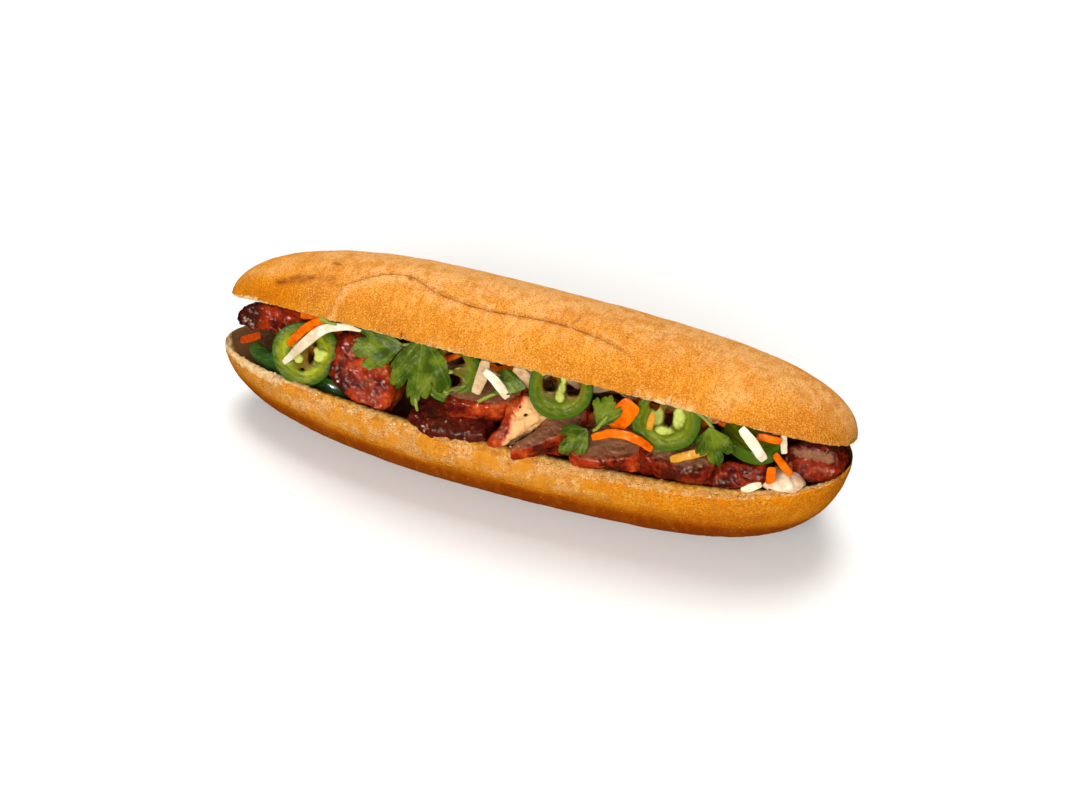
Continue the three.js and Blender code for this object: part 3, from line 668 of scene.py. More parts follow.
def fold_loops():
    """The uncut back: a band of crust that follows both halves and bridges the fold."""
    x = np.linspace(*FOLD_ENDS, FOLD_SECTIONS)[:, None]
    full = np.sqrt(np.maximum(0.004, 1 - np.abs(np.linspace(-1, 1, FOLD_SECTIONS)[:, None]) ** 5))
    y0 = np.minimum(lid_half_width(x), heel_half_width(x)) - FOLD_INSET
    z0 = slit_at(x) + 1 + 0.3 * (HALF_WIDTH - y0 - FOLD_INSET)
    a = 2 * pi * np.arange(FOLD_POINTS) / FOLD_POINTS
    wrinkle = 1 + 0.05 * waver(x, 7, 3) * np.cos(a)
    y = y0 + sweep_at(x) + full * FOLD_HALF_DEPTH * wrinkle * np.sin(a)
    return xyz(x, y, z0 + full * FOLD_HALF_HEIGHT * np.cos(a))


def crust_material(settings):
    """Baked crust with fine blisters, and porous crumb where the layer says so."""
    nodes = Shading("baked_crust")
    patches, broad, mottle = nodes.noise(75, 3), nodes.noise(16), nodes.noise(170, 3)
    fine, shreds = nodes.noise(1700, 3, roughness=0.65), nodes.noise(520, 4, roughness=0.7)
    grain, specks = nodes.cells(settings.grain, "SMOOTH_F1"), nodes.cells(270)
    low, torn = nodes.layer("low"), nodes.layer("torn")
    pale = nodes.layer("pale") * mottle.range(0.4, 0.62, 1.25, 0.35)
    flakes = shreds.range(0.52, 0.62) * mottle.range(0.56, 0.44) * torn
    streaks = nodes.noise(420, 2, nodes.stretched(1, 0.22, 0.22))
    brown = nodes.layer("brown") * fine.range(0.2, 0.6, 0.75, 1.1) * mottle.range(0.4, 0.6, 0.6, 1.35)
    golden = nodes.coats(
        nodes.ramp(
            patches * 0.6 + broad * 0.4,
            (0.3, settings.crust_pale), (0.45, settings.crust), (0.62, settings.crust_deep),
        ),
        # Paler crust, and the painted sheen along the top of the lid.
        (pale.clamped(), settings.crust_pale),
        (grain.range(0.3, 0.6) * 0.45, settings.crust_deep),
        (fine.range(0.46, 0.66, 0, 0.9) * low.range(0.1, 0.9, 1, 0.5), settings.blister),
        (fine.range(0.5, 0.34, 0, 0.95), settings.crust_deep),
        (torn * (mottle.range(0.47, 0.56) * 0.8), settings.puffed),
        (flakes.clamped() * 0.75, settings.flake),
        # The low layer: richer gold, then painted shade darkening towards the underside.
        (low.range(0, 0.35), settings.crust_rich, "MULTIPLY"),
        (low.range(0.35, 1), settings.crust_low, "MULTIPLY"),
        (streaks.range(0.5, 0.66, 0, 0.3), settings.crust_deep),
        (specks.range(0.16, 0.05) * low.range(0.3, 0.8) * 0.6, settings.blister),
        (specks.range(0.2, 0.07) * nodes.noise(120).range(0.5, 0.62) * 0.65, settings.scorch),
        # Burnt colour, and painted shade down in folds, creases and the score.
        (brown.clamped(), settings.scorch),
    )
    holes = nodes.cells(330).range(0.4, 0.1) * patches.range(0.45, 0.6)
    toast = nodes.layer("toast") * patches.range(0.35, 0.62, 1.15, 0.75)
    soft = nodes.coats(
        settings.crumb,
        (holes * 0.4, settings.crumb_shade),
        (shreds.range(0.56, 0.4, 0, 0.7), settings.crumb_shade),
        (toast.clamped(), nodes.blend(shreds.range(0.4, 0.58), settings.crust, settings.blister)),
        # Painted shade over the crumb deep in the mouth.
        (nodes.layer("soak"), settings.soaked),
    )
    is_crumb = (nodes.layer("crumb") + (shreds - 0.5) * 1.6).range(0.4, 0.62)
    relief = (0.6 - grain) * (1 - is_crumb) + holes * -0.6 * is_crumb
    return nodes.surface(
        bumps=((relief, 0.0008, 0.75), (fine, 0.0012, 0.9), (shreds, 0.0008, 0.3)),
        base_color=nodes.blend(is_crumb, golden, soft),
        roughness=is_crumb * 0.25 + fine.range(0.3, 0.7, 0.42, 0.6),
        specular_ior_level=0.06,
        specular_tint=(1, 0.7, 0.3),
        subsurface_weight=0.04,
        subsurface_scale=0.003,
    )


def crust_relief(material):
    """Swells, blisters, pores and torn edges as real relief, along each point's normal."""
    swells = {"Swell Size": 12.0, "Swell Height": 0.5, "Blister Size": 1.7, "Blister Height": 0.2}
    grow = Growth("crust_relief", {**swells, "Pore Depth": 0.25, "Tear Height": 1.3})
    swell = (grow.noise(1 / MM / grow["Swell Size"]) - 0.5) * grow["Swell Height"]
    bubble = (0.45 - grow.cells(1 / MM / grow["Blister Size"], "SMOOTH_F1")) * grow["Blister Height"]
    crust = swell + bubble * grow.noise(90).range(0.35, 0.6, 0.35, 1.3)
    pit = grow.cells(400).range(0.5, 0.1) * grow["Pore Depth"]
    tear = (grow.noise(520, 4, roughness=0.7) - 0.5) * grow["Tear Height"] * (grow.layer("torn") * 2)
    crumb = grow.layer("crumb")
    height = crust * (1 - crumb).clamped() + tear - pit * crumb
    return grow.finish(grow.raised(height * MM), material)


def make_loaf(settings):
    material = crust_material(settings)
    relief = crust_relief(material)
    names = ("swell_size", "swell_height", "blister_size", "blister_height")
    sizes = {name: getattr(settings, name) / MM for name in names}
    shapes = {}
    for name, grid in (("loaf_lid", lid_grid), ("loaf_heel", heel_grid)):
        crust, crumb, layers = grid(settings)
        loops = round_edge(np.concatenate([crust, crumb], axis=1), crust.shape[1])
        both = {}
        for key, parts in layers.items():
            shown = [np.broadcast_to(part, rows.shape[:2]) for part, rows in zip(parts, (crust, crumb))]
            both[key] = np.concatenate(shown, axis=1)
        shapes[name] = loops, both
    plain = dict(crumb=0, brown=0.05, pale=0.3, low=0.1, torn=0, soak=0, toast=0)
    shapes["loaf_fold"] = fold_loops(), plain
    for name, (loops, layers) in shapes.items():
        piece = lofted(name, loops, **layers)
        with_nodes(piece, relief, **sizes)
        finish_piece(piece, material, "bread", "bread")


# ---------------------------------------------------------------- pieces that lie in the mouth


def placing(spec):
    """From a piece's own plane, whose third axis is the way its face looks, to where it lies."""
    place = Matrix.Translation(Vector(spec["at"]))
    for name, axis in (("turn", "Z"), ("lean", "X"), ("roll", "Y"), ("spin", "Z")):
        place = place @ Matrix.Rotation(radians(spec.get(name, 0)), 4, axis)
    return np.array(place)


def put(points, place):
    return (points.reshape(-1, 3) @ place[:3, :3].T + place[:3, 3]).reshape(points.shape)


def curve_through(corners, count, closed=False):
    """A smooth curve through the corners, evenly spaced."""
    p = np.asarray(corners, float)
    before, after = (p[-1:], p[:2]) if closed else (2 * p[:1] - p[1:2], 2 * p[-1:] - p[-2:-1])
    p = np.vstack([before, p, after])
    steps = 24 if closed else 20
    t = np.arange(steps)[:, None] / steps
    curve = [
        0.5 * (2 * b + (c - a) * t + (2 * a - 5 * b + 4 * c - d) * t**2 + (3 * b - a - 3 * c + d) * t**3)
        for a, b, c, d in zip(p, p[1:], p[2:], p[3:])
    ]
    curve = np.vstack([*curve, p[-2]])
    length = np.concatenate([[0], np.cumsum(np.linalg.norm(np.diff(curve, axis=0), axis=1))])
    want = np.linspace(0, length[-1], count, endpoint=not closed)
    return np.stack([np.interp(want, length, axis) for axis in curve.T], axis=1)


# ---------------------------------------------------------------- roast pork

# Each piece: where its face is, how it lies, its thickness and its face's outline. cut is how much
# of the face is bare cut meat, char how dark the bark is and bright how thin the glaze is. Each
# comes up between the two places in its _over, which lie up the face for cut and along it for the
# others. spots are burnt places: x, y and size. fat is a direction in the face and the distances
# along it between which fat begins.
PORK = (
    dict(
        at=(-107, -4, 45), lean=60, thickness=14, char=0.9, bright=0.5, char_over=(3, -13),
        face=((-16, -4), (-15, 0), (-7, 4), (10, 5), (27, 3), (25, -10), (10, -11), (0, -6), (-12, -7)),
    ),
    dict(
        at=(-62, -20, 40), lean=55, turn=5, thickness=20, bright=0.75, bright_over=(-10, 0),
        face=(
            (-13, -3), (-13, 6), (-11, 14), (-5, 15), (2, 12), (8, 8),
            (13, -1), (12, -10), (8, -14), (-5, -10),
        ),
    ),
    dict(
        at=(-11, -24, 44.5), lean=12, thickness=11, cut=1.0, bright=0.3, cut_over=(-3, 0),
        face=((-12, -4), (-1, -3), (9, 0), (15, 7), (13, 20), (-8, 20), (-11, 4)),
    ),
    dict(
        at=(-23, -28, 36), lean=12, thickness=11, char=0.55,
        face=((-14, -3), (-8, -7), (2, -8), (16, -6), (18, -2), (15, 20), (-11, 20), (-14, 6)),
    ),
    dict(
        at=(6, -27, 42), lean=42, turn=10, thickness=13, cut=0.3, bright=0.8,
        fat=(0.954, -0.298, -3.2, 2.0), spots=((3.5, 2.0, 0.9), (1.0, 4.5, 0.6)),
        face=((-10, -10), (-5, -11), (1, -6), (10, 1), (9, 5), (2, 10), (-4, 6), (-5, -1)),
    ),
    dict(
        at=(19, -27, 39.5), lean=12, roll=-8, thickness=13, cut=1.0, char=0.1, bright=0.35,
        face=((-12, -11), (-6, -10), (1, -5), (10, 3), (12, 8), (9, 22), (-4, 22), (-5, 2)),
    ),
    dict(
        at=(43, -28, 38), lean=12, thickness=12, cut=0.9, bright=0.5,
        face=((-12, -6), (-4, -7), (5, -4), (12, 0), (13, 8), (10, 24), (-9, 24), (-12, 3)),
    ),
    dict(
        at=(67, -26, 39.5), lean=12, thickness=15, cut=0.75, char=0.4, bright=0.2,
        face=((-11, 0), (-5, -3), (8, -5), (16, -3), (18, 3), (13, 22), (-8, 22), (-10, 8)),
    ),
    dict(
        at=(95, -24, 37), lean=50, thickness=16, char=0.35, bright=0.3,
        face=((-11, 1), (-6, 4), (1, 5), (10, 6), (10, 0), (4, -5), (-3, -8), (-9, -7)),
    ),
    dict(
        at=(120.5, -11.6, 40.3), lean=55, thickness=20, cut=0.75, char=0.25, bright=0.1, cut_over=(-1, 3.5),
        face=((-12, -2), (-10, 4), (-3, 7), (7, 7), (11, 3), (10, -3), (2, -7), (-8, -6)),
    ),
)
FACE_CROWN = 0.35  # how far a slice's face bulges
CUT_EDGE, WORN_EDGE, BACK_ROUND = 1.3, 2.6, 2.4  # how round a slice's edges are
RIGHT_TIP_X = 124  # from here the mouth closes


def pork_slice(name, spec, seed, detail):
    """One slice: its face, a worn round edge, glazed sides and its back."""
    outline = curve_through(spec["face"], detail, closed=True)
    x, y = outline.T
    if np.sum(x * np.roll(y, -1) - y * np.roll(x, -1)) < 0:
        outline = outline[::-1]
    middle = outline.mean(0)
    arm = outline - middle
    reach = np.linalg.norm(arm, axis=1)
    arm /= reach[:, None]
    thickness, cut = spec["thickness"], spec.get("cut", 0)
    edge = CUT_EDGE if cut > 0.5 else WORN_EDGE
    quarter = np.linspace(0, pi / 2, 6)
    # Rows of points from the face's middle to the back's: share of the reach, inset from it, depth.
    rows = [(share, None, FACE_CROWN * share**2) for share in np.linspace(0.05, 0.95, 14)]
    rows += [(1, edge * (1 - sin(a)), FACE_CROWN + edge * (1 - cos(a))) for a in quarter]
    rows += [(1, 0, depth) for depth in np.linspace(FACE_CROWN + edge, thickness - BACK_ROUND, 16)[1:-1]]
    rows += [(1, BACK_ROUND * (1 - cos(a)), thickness - BACK_ROUND * (1 - sin(a))) for a in quarter]
    rows += [(share, None, thickness) for share in (0.75, 0.45, 0.15)]
    local, face = [], []
    for share, inset, depth in rows:
        if inset is None:
            r, rim = reach * (1 - edge / reach) * share, smooth(share, 0.65, 1.0)
        else:
            r, rim = reach - inset + 0.7 * sin(pi * depth / thickness), 1
        local.append(np.column_stack([middle + arm * r[:, None], np.full(len(arm), -depth)]))
        face.append(1 - 0.5 * rim if depth < 0.36 + 0.3 * edge else 0)
    local, face = np.array(local), np.array(face)[:, None]
    placed = put(local, placing(spec))
    out = placed - placed.mean((0, 1))
    out /= np.linalg.norm(out, axis=-1, keepdims=True)
    swell = (1 - 0.6 * cut * face) * (lumps(placed, 9, seed) + 0.45 * lumps(placed, 3.7, seed + 1))
    placed += out * swell[..., None]
    placed[..., 0] -= 0.2 * np.maximum(placed[..., 0] - RIGHT_TIP_X, 0)
    keep_in_mouth(placed, soft=True)

    along, up = local[..., 0], local[..., 1]

    def strength(layer, place):
        over = spec.get(layer + "_over")
        return spec.get(layer, 0) * (smooth(place, *over) if over else 1)

    char, bright, bare = strength("char", along), strength("bright", along), strength("cut", up)
    fat = 0
    for spot_x, spot_y, size in spec.get("spots", ()):
        char = char + 2 * bump(np.hypot(along - spot_x, up - spot_y), 0, size)
    if "fat" in spec:
        fat_x, fat_y, start, end = spec["fat"]
        fat = smooth(fat_x * along + fat_y * up, start, end)
    return lofted(name, placed, cut=face * bare, char=char, bright=bright, fat=fat)


def pork_material(settings):
    """Glazed, partly charred bark, with bare meat and fat on the cut faces."""
    nodes = Shading("glazed_pork")
    blotch, small = nodes.noise(95, 3, roughness=0.55), nodes.noise(430, 4, roughness=0.6)
    fibre = nodes.noise(800, 3, nodes.stretched(0.35, 1, 1, rotation=(0.3, 0.2, 0.5)))
    char, fat = nodes.layer("char"), nodes.layer("fat")
    glaze = nodes.ramp(
        blotch + (nodes.layer("bright") - 0.4) * 0.22 + (small - 0.5) * 0.5,
        (0.37, settings.bark), (0.48, settings.glaze),
        (0.6, settings.glaze_bright), (0.72, settings.glaze_thin),
    )
    glaze = nodes.blend((char + (blotch - 0.5) * 1.8).range(0.25, 0.9), glaze, settings.char)
    meat = nodes.ramp(fibre, (0.28, settings.meat_deep), (0.5, settings.meat), (0.76, settings.meat_pale))
    meat = nodes.blend(blotch.range(0.45, 0.65, 0, 0.5), meat, settings.meat_deep)
    bare = (nodes.layer("cut") + (small - 0.5) * 0.6).range(0.35, 0.6)
    fatty = (fat + (blotch - 0.5) * 2.2 + (small - 0.5) * 1.3) * fat.range(0, 0.25)
    return nodes.surface(
        bumps=((nodes.noise(400, 1), 0.0015, 0.6), (small, 0.0004, 0.2), (fibre, 0.0003, 0.2)),
        base_color=nodes.coats(
            glaze,
            (bare, meat),
            (fatty.range(0.15, 0.55), settings.fat_pink),
            (fatty.range(0.45, 1), settings.fat),
            (char.range(0.9, 1.5), settings.char),
        ),
        roughness=small.range(0.35, 0.65, 0.04, 0.09) + bare * 0.3,
        specular_ior_level=0.32,
        specular_tint=(1, 0.62, 0.42),
        coat_weight=bare.range(0, 1, 0.2, 0.04),
        coat_roughness=0.03,
        subsurface_weight=0.08,
        subsurface_radius=(0.003, 0.0006, 0.0003),
        subsurface_scale=0.5,
    )


def meat_relief(material):
    """Coarse lumps and fine strings of meat, lower on cut faces and higher on char."""
    sizes = {"Lump Size": 4.0, "Lump Height": 0.9, "String Size": 1.5, "String Height": 0.3}
    grow = Growth("meat_relief", sizes)
    lump = (grow.noise(1 / MM / grow["Lump Size"], 3) - 0.5) * grow["Lump Height"]
    pulled = grow.vector("MULTIPLY", grow.where, (0.4, 1, 1))
    string = (grow.noise(1 / MM / grow["String Size"], 2, pulled) - 0.5) * grow["String Height"]
    height = (lump + string) * (2 * MM) * (1 - grow.layer("cut") * 0.5) * (grow.layer("char") + 1)
    return grow.finish(grow.raised(height), material)


def make_pork(settings):
    material = pork_material(settings)
    relief = meat_relief(material)
    for number, spec in enumerate(PORK, 1):
        piece = pork_slice(f"roast_pork_{number}", spec, number, settings.points_round)
        with_nodes(piece, relief, lump_height=settings.lump_height / MM)
        finish_piece(piece, material, "pork", f"pork_{number}")


# ---------------------------------------------------------------- chilli rings

# chambers: place, half width and half height of each hole. pith: place, size. seeds: place, turn.
# light is how pale the wall is, and ribs how pale the pith is.
CHILLI = (
    dict(
        at=(-89, -15, 39.5), lean=58, turn=12, radius=13.6, thickness=4.5, light=1.0, ribs=1.0,
        chambers=((2.3, -1.0, 1.2, 3.4), (3.6, 3.9, 0.9, 1.0), (-0.9, -6.6, 1.9, 0.6)),
        pith=(
            (-2.2, -2.4, 2.0, 2.0), (-4.0, -1.0, 2.6, 2.0), (5.9, -1.0, 2.4, 2.2), (7.4, 0.6, 2.2, 1.6),
            (4.6, 1.6, 1.2, 1.4), (-4.6, 4.2, 3.2, 2.2),
        ),
    ),
    dict(
        at=(-24, -20, 51), lean=60, turn=12, radius=12.3, thickness=5, light=0.15, ribs=0.8,
        chambers=((0.5, 4.6, 4.6, 3.2), (1.5, -3.2, 3, 2.4)), seeds=((-4.2, 2.2, 20),),
        pith=((-4.4, -1.5, 1.8, 4.5), (-1.5, 0.4, 3.0, 1.3), (2.6, 3.4, 1.8, 2.2), (-3.6, 5.0, 2.0, 1.6)),
    ),
    dict(
        at=(22, -22, 57.5), lean=60, turn=12, radius=12.6, thickness=5, light=0.2, ribs=0.8,
        chambers=((-4.0, 2, 2.8, 4.2), (5, 1.4, 2.8, 4.6)), seeds=((0.8, 1.6, 75),),
        pith=(
            (0.4, -3.2, 2.2, 2.6), (1.0, 0.2, 1.7, 3.0), (1.8, 4.0, 2.0, 2.6), (-5.5, 5.5, 2.6, 1.6),
            (6.4, 5.4, 2.2, 1.4),
        ),
    ),
    dict(
        at=(65, -22, 54.5), lean=60, turn=5, radius=13.2, thickness=5, light=0.3, ribs=0.9,
        chambers=((0.4, 1.0, 1.8, 4.4), (-5.4, 4.6, 2.0, 2.2)),
        pith=((-3.8, 0.6, 3.0, 4.2), (4.6, 1.0, 2.8, 4.6), (-0.4, -4.4, 4.0, 2.0)),
    ),
    dict(at=(97, -12, 50), lean=12, turn=-8, radius=11.3, thickness=7, light=0.2, ribs=0.0),
)
RING_HEIGHT = 0.96  # of a ring's width
RING_BEVEL = 0.6
RIM_POINTS, HOLE_POINTS = 360, 90
SEED_DEPTH, SEED_TILT = 1.6, (0.2, 0.15)


def rim_radius(spec, angle, number):
    """The ring's radius, round three soft corners and a little longer one way."""
    seed = number - 1
    corners = 1 + 0.035 * np.sin(3 * angle + seed)
    return spec["radius"] * corners + 0.3 * np.sin(2 * angle + 2 * seed) - 0.5


def chilli_blank(spec, number, voxel):
    """The ring's flesh as one evenly meshed lump, lying flat with its face at the top."""
    curve = bpy.data.curves.new("chilli_blank", "CURVE")
    curve.dimensions = "2D"
    curve.fill_mode = "BOTH"
    curve.extrude = (spec["thickness"] / 2 - RING_BEVEL) * MM
    curve.bevel_depth = RING_BEVEL * MM
    curve.bevel_resolution = 2

    def add_loop(x, y):
        spline = curve.splines.new("POLY")
        spline.points.add(len(x) - 1)
        spline.points.foreach_set("co", np.column_stack([x * MM, y * MM, 0 * x, 0 * x + 1]).ravel())
        spline.use_cyclic_u = True

    a = np.linspace(0, 2 * pi, RIM_POINTS, endpoint=False)
    r = rim_radius(spec, a, number)
    add_loop(r * np.cos(a), RING_HEIGHT * r * np.sin(a))
    a = np.linspace(0, 2 * pi, HOLE_POINTS, endpoint=False)
    wobble = 1 + 0.08 * np.sin(3 * a + number) + 0.05 * np.sin(5 * a + 2 * number)
    for x, y, half_width, half_height in spec.get("chambers", ()):
        wide, high = (half_width + RING_BEVEL) * wobble, (half_height + RING_BEVEL) * wobble
        add_loop(x + wide * np.cos(a), y + high * np.sin(a))
    blank = in_scene("chilli_blank", curve)
    solid = in_scene("chilli_blank", evaluated_mesh(blank))
    remesh = solid.modifiers.new("even", "REMESH")
    remesh.mode = "VOXEL"
    remesh.voxel_size = voxel
    even = solid.modifiers.new("even_out", "SMOOTH")
    even.factor = 0.5
    even.iterations = 12
    mesh = evaluated_mesh(solid)
    points = np.empty(len(mesh.vertices) * 3, np.float32)
    mesh.vertices.foreach_get("co", points)
    faces = [tuple(face.vertices) for face in mesh.polygons]
    for used in (blank, solid):
        bpy.data.objects.remove(used)
    bpy.data.curves.remove(curve)
    bpy.data.meshes.remove(mesh)
    return points.reshape(-1, 3).astype(float) / MM, faces


def chilli_ring(name, spec, number, voxel):
    points, faces = chilli_blank(spec, number, voxel)
    x, y, z = points.T
    angle = np.arctan2(y / RING_HEIGHT, x)
    share = np.hypot(x, y / RING_HEIGHT) / rim_radius(spec, angle, number)
    top = smooth(z, 0, spec["thickness"] / 2 - 0.7)

    def spots(key, outside, inside):
        near = np.zeros_like(x)
        for cx, cy, half_width, half_height in spec.get(key, ()):
            gap = np.hypot((x - cx) / half_width, (y - cy) / half_height)
            near = np.maximum(near, smooth(gap, outside, inside))
        return near

    hole, pith = spots("chambers", 1.9, 1.0), spots("pith", 1.25, 0.6)
    sunk = 0.9 * smooth(share, 0.8, 0.66) * (1 - pith) - 0.25 * pith * (1 + waver(x - y, 3.1, number))
    z = z - top * (sunk - 0.25 * waver(x + 2 * y, 5.3, number)) + 0.5 * waver(angle, 2 * pi, number) * share
    placed = put(np.column_stack([x, y, z - spec["thickness"] / 2]), placing(spec))
    light = np.full_like(x, spec["light"])
    layers = dict(share=share, pith=pith * spec["ribs"], hole=hole, light=light)
    return new_piece(name, placed, faces, layers)


def chilli_material(settings):
    """Glossy skin, wet green flesh that pales inwards, and cream pith."""
    nodes = Shading("green_chilli")
    share, pith, veins = nodes.layer("share"), nodes.layer("pith"), nodes.noise(330, 3)
    flesh = nodes.ramp(
        share + (veins - 0.5) * 0.2,
        (0.4, settings.inner), (0.52, settings.flesh), (0.66, settings.flesh_pale),
        (0.82, settings.flesh), (0.95, settings.flesh_deep),
    )
    ribs = (pith + (veins - 0.5) * 1.3).range(0.2, 1) * pith.range(0.05, 0.3)
    return nodes.surface(
        bumps=((veins, 0.0009, 0.25),),
        base_color=nodes.coats(
            flesh,
            (nodes.noise(120).range(0.42, 0.6, 0, 0.5), settings.flesh_deep),
            ((1 - nodes.layer("light")) * 0.75, settings.flesh_deep),
            (share.range(0.925, 0.955), settings.skin),
            (nodes.layer("hole") * 0.55, settings.inner),
            (ribs * 0.9, settings.pith),
        ),
        roughness=share.range(0.9, 0.97, 0.24, 0.14),
        specular_ior_level=0.14,
        coat_weight=share.range(0.93, 0.99, 0.02, 0.16),
        coat_roughness=0.06,
        subsurface_weight=0.1,
        subsurface_radius=(0.0015, 0.002, 0.0004),
        subsurface_scale=0.6,
    )


def seed_tree(material):
    """Flat tear-drop seeds on every point."""
    grow = Growth("chilli_seeds", {"Length": 3.6, "Width": 2.9, "Thickness": 0.9})
    ball = grow.add("GeometryNodeMeshUVSphere", {"Segments": 12, "Rings": 8, "Radius": 0.5 * MM})
    size = grow.add("ShaderNodeCombineXYZ", {0: grow["Length"], 1: grow["Width"], 2: grow["Thickness"]})
    ball = grow.add("GeometryNodeSetShadeSmooth", {"Geometry": ball, "Shade Smooth": True})
    sizes = {"Rotation": grow.layer("turn", "FLOAT_VECTOR"), "Scale": size}
    seeds = grow.add("GeometryNodeInstanceOnPoints", {"Points": grow.start, "Instance": ball, **sizes})
    return grow.finish(seeds, material)


def make_chilli(settings):
    material = chilli_material(settings)
    seed_places, seed_turns = [], []
    for number, spec in enumerate(CHILLI, 1):
        piece = chilli_ring(f"chilli_ring_{number}", spec, number, settings.voxel)
        finish_piece(piece, material, "chilli", f"chilli_{number}")
        place = placing(spec)
        for x, y, turn in spec.get("seeds", ()):
            seed_places.append(put(np.array([x, y, -SEED_DEPTH]), place))
            tilt = Matrix(place[:3, :3].tolist()) @ Euler((*SEED_TILT, radians(turn))).to_matrix()
            seed_turns.append(tuple(tilt.to_euler()))
    tones = (0.35, (0.55, 0.34, 0.12)), (0.65, (0.8, 0.62, 0.32))
    material = mottled("chilli_seed", 700, tones, (0.0002, 0.4), roughness=0.35, subsurface_weight=0.2)
    seeds = new_piece("chilli_seeds", seed_places, [])
    layer = seeds.data.attributes.new("turn", "FLOAT_VECTOR", "POINT")
    layer.data.foreach_set("vector", np.ravel(seed_turns))
    with_nodes(seeds, seed_tree(material))
    finish_piece(seeds, material, "chilli")


# ---------------------------------------------------------------- coriander

# at is the foot of the blade, spin turns its tip, spread is half the fan's angle, curl folds it.
CORIANDER = (
    dict(at=(-35, -19, 67), lean=65, turn=14, spin=-94, length=29, spread=44, curl=0.012),
    dict(at=(-42, -22, 61), lean=55, turn=5, spin=-168, length=22, spread=42, curl=0.02),
    dict(at=(40, -28, 48), lean=74, turn=0, spin=76, length=14, spread=46, curl=0.04),
    dict(at=(36, -28, 46), lean=60, turn=-10, spin=-128, length=15, spread=50, curl=0.03),
    dict(at=(83, -25, 58.5), lean=74, turn=8, spin=-76, length=16, spread=50, curl=0.03),
    dict(at=(10, -25, 56.5), lean=45, turn=0, spin=178, length=16, spread=34, curl=0.03),
)
STEMS = (
    ((-35, -29, 42), (-34.5, -30, 39.5), (-34, -30, 37)),
    ((-9, -28, 47), (-6, -27.5, 49.5), (0, -26, 53), (9, -24, 56)),
    ((-48, -21, 60), (-43, -21, 60.5), (-38, -20, 62), (-33, -18, 66)),
    ((38, -28, 46), (39.5, -28, 47.5), (41, -27.5, 50), (43, -26.5, 53)),
    ((84, -24, 57), (80, -22, 59), (75, -20, 60)),
    ((-80, -17, 60.6), (-76, -18.2, 60.8), (-72.5, -18.6, 61)),
)
LOBES = (-2 / 3, 0, 2 / 3)
LEAF_STEPS = 26  # points from a leaf's foot to its edge
STEM_SECTIONS, STEM_RADII = 26, (0.75, 0.55)
STEM_PALE = 2.6


def leaf_blade(name, spec, seed, spokes):
    """A thin, wavy fan cut into three lobes with round teeth, and veins along the lobes."""
    v = np.linspace(1, -1, spokes)[:, None]
    share = np.linspace(0.05, 1, LEAF_STEPS)
    spread = radians(spec["spread"])
    bent = v + 0.05 * waver(v, 1.4, seed)
    lobe = 0.7 + 0.3 * np.abs(np.cos(1.5 * pi * bent)) ** 0.5
    tooth = 0.88 + 0.12 * np.abs(np.cos(4.5 * pi * bent + 0.4 * np.sin(5 * bent + seed))) ** 0.5
    edge = 1 + (lobe * tooth * (1 + 0.06 * waver(v, 0.9, seed + 3)) - 1) * share**2.2
    r = spec["length"] * share * (1 - 0.42 * v**2) * edge * 1.03
    x, y = r * np.cos(v * spread), r * np.sin(v * spread)
    vein = np.zeros_like(r)
    for at in LOBES:
        main = bump(np.abs(bent - at) * spread * r, 0, 0.25) * smooth(share, 1.0, 0.7)
        vein = np.maximum(vein, main)
        for side in (-0.22, 0.22):
            fork = at + side * np.clip(share - 0.3, 0, 1) / 0.7
            fine = 0.5 * bump(np.abs(bent - fork) * spread * r, 0, 0.2)
            vein = np.maximum(vein, fine * smooth(share, 0.3, 0.42) * smooth(share, 1.0, 0.8))
    cup = 1.2 * waver(x + 1.3 * y, 30, seed) + 0.6 * waver(y * 1.2 + x, 9, seed)
    cup = (cup + 0.35 * waver(y - 0.8 * x, 6.1, seed + 1)) * share
    z = cup + 0.35 * np.cos(3 * pi * bent) * share**2 - spec["curl"] * y**2 - 0.004 * x**2
    thick = 0.2 + 0.08 * vein
    loops = np.concatenate([xyz(x, y, z + thick), xyz(x, y, z - thick)[:, ::-1]], axis=1)
    veins = np.concatenate([vein, vein[:, ::-1]], axis=1)
    return lofted(name, put(loops, placing(spec)), vein=veins, under=np.repeat([0, 1], len(share)))


def tube(path, radii, around=10):
    """A round rod along a path, as loops."""
    along = np.gradient(path, axis=0)
    along /= np.linalg.norm(along, axis=1, keepdims=True)
    side = np.cross(along[0], (0.3, 0.2, 1.0))
    a = 2 * pi * np.arange(around)[:, None] / around
    loops = []
    for p, t, r in zip(path, along, radii):
        side = side - t * side.dot(t)
        side /= np.linalg.norm(side)
        loops.append(p + r * (np.cos(a) * side + np.sin(a) * np.cross(t, side)))
    return np.array(loops)


def leaf_material(settings):
    nodes = Shading("coriander")
    vein, fine = nodes.layer("vein"), nodes.noise(600, 3)
    return nodes.surface(
        bumps=((vein * -0.35 + fine * 0.9, 0.0007, 0.4),),
        base_color=nodes.coats(
            nodes.ramp(nodes.noise(130, 3), (0.42, settings.leaf_deep), (0.6, settings.leaf)),
            (vein * 0.2, settings.vein),
            (nodes.layer("under") * 0.15, settings.vein),
        ),
        roughness=fine.range(0.3, 0.7, 0.24, 0.42),
        specular_ior_level=0.22,
        subsurface_weight=0.12,
        subsurface_radius=(0.001, 0.0016, 0.0002),
        subsurface_scale=0.5,
    )


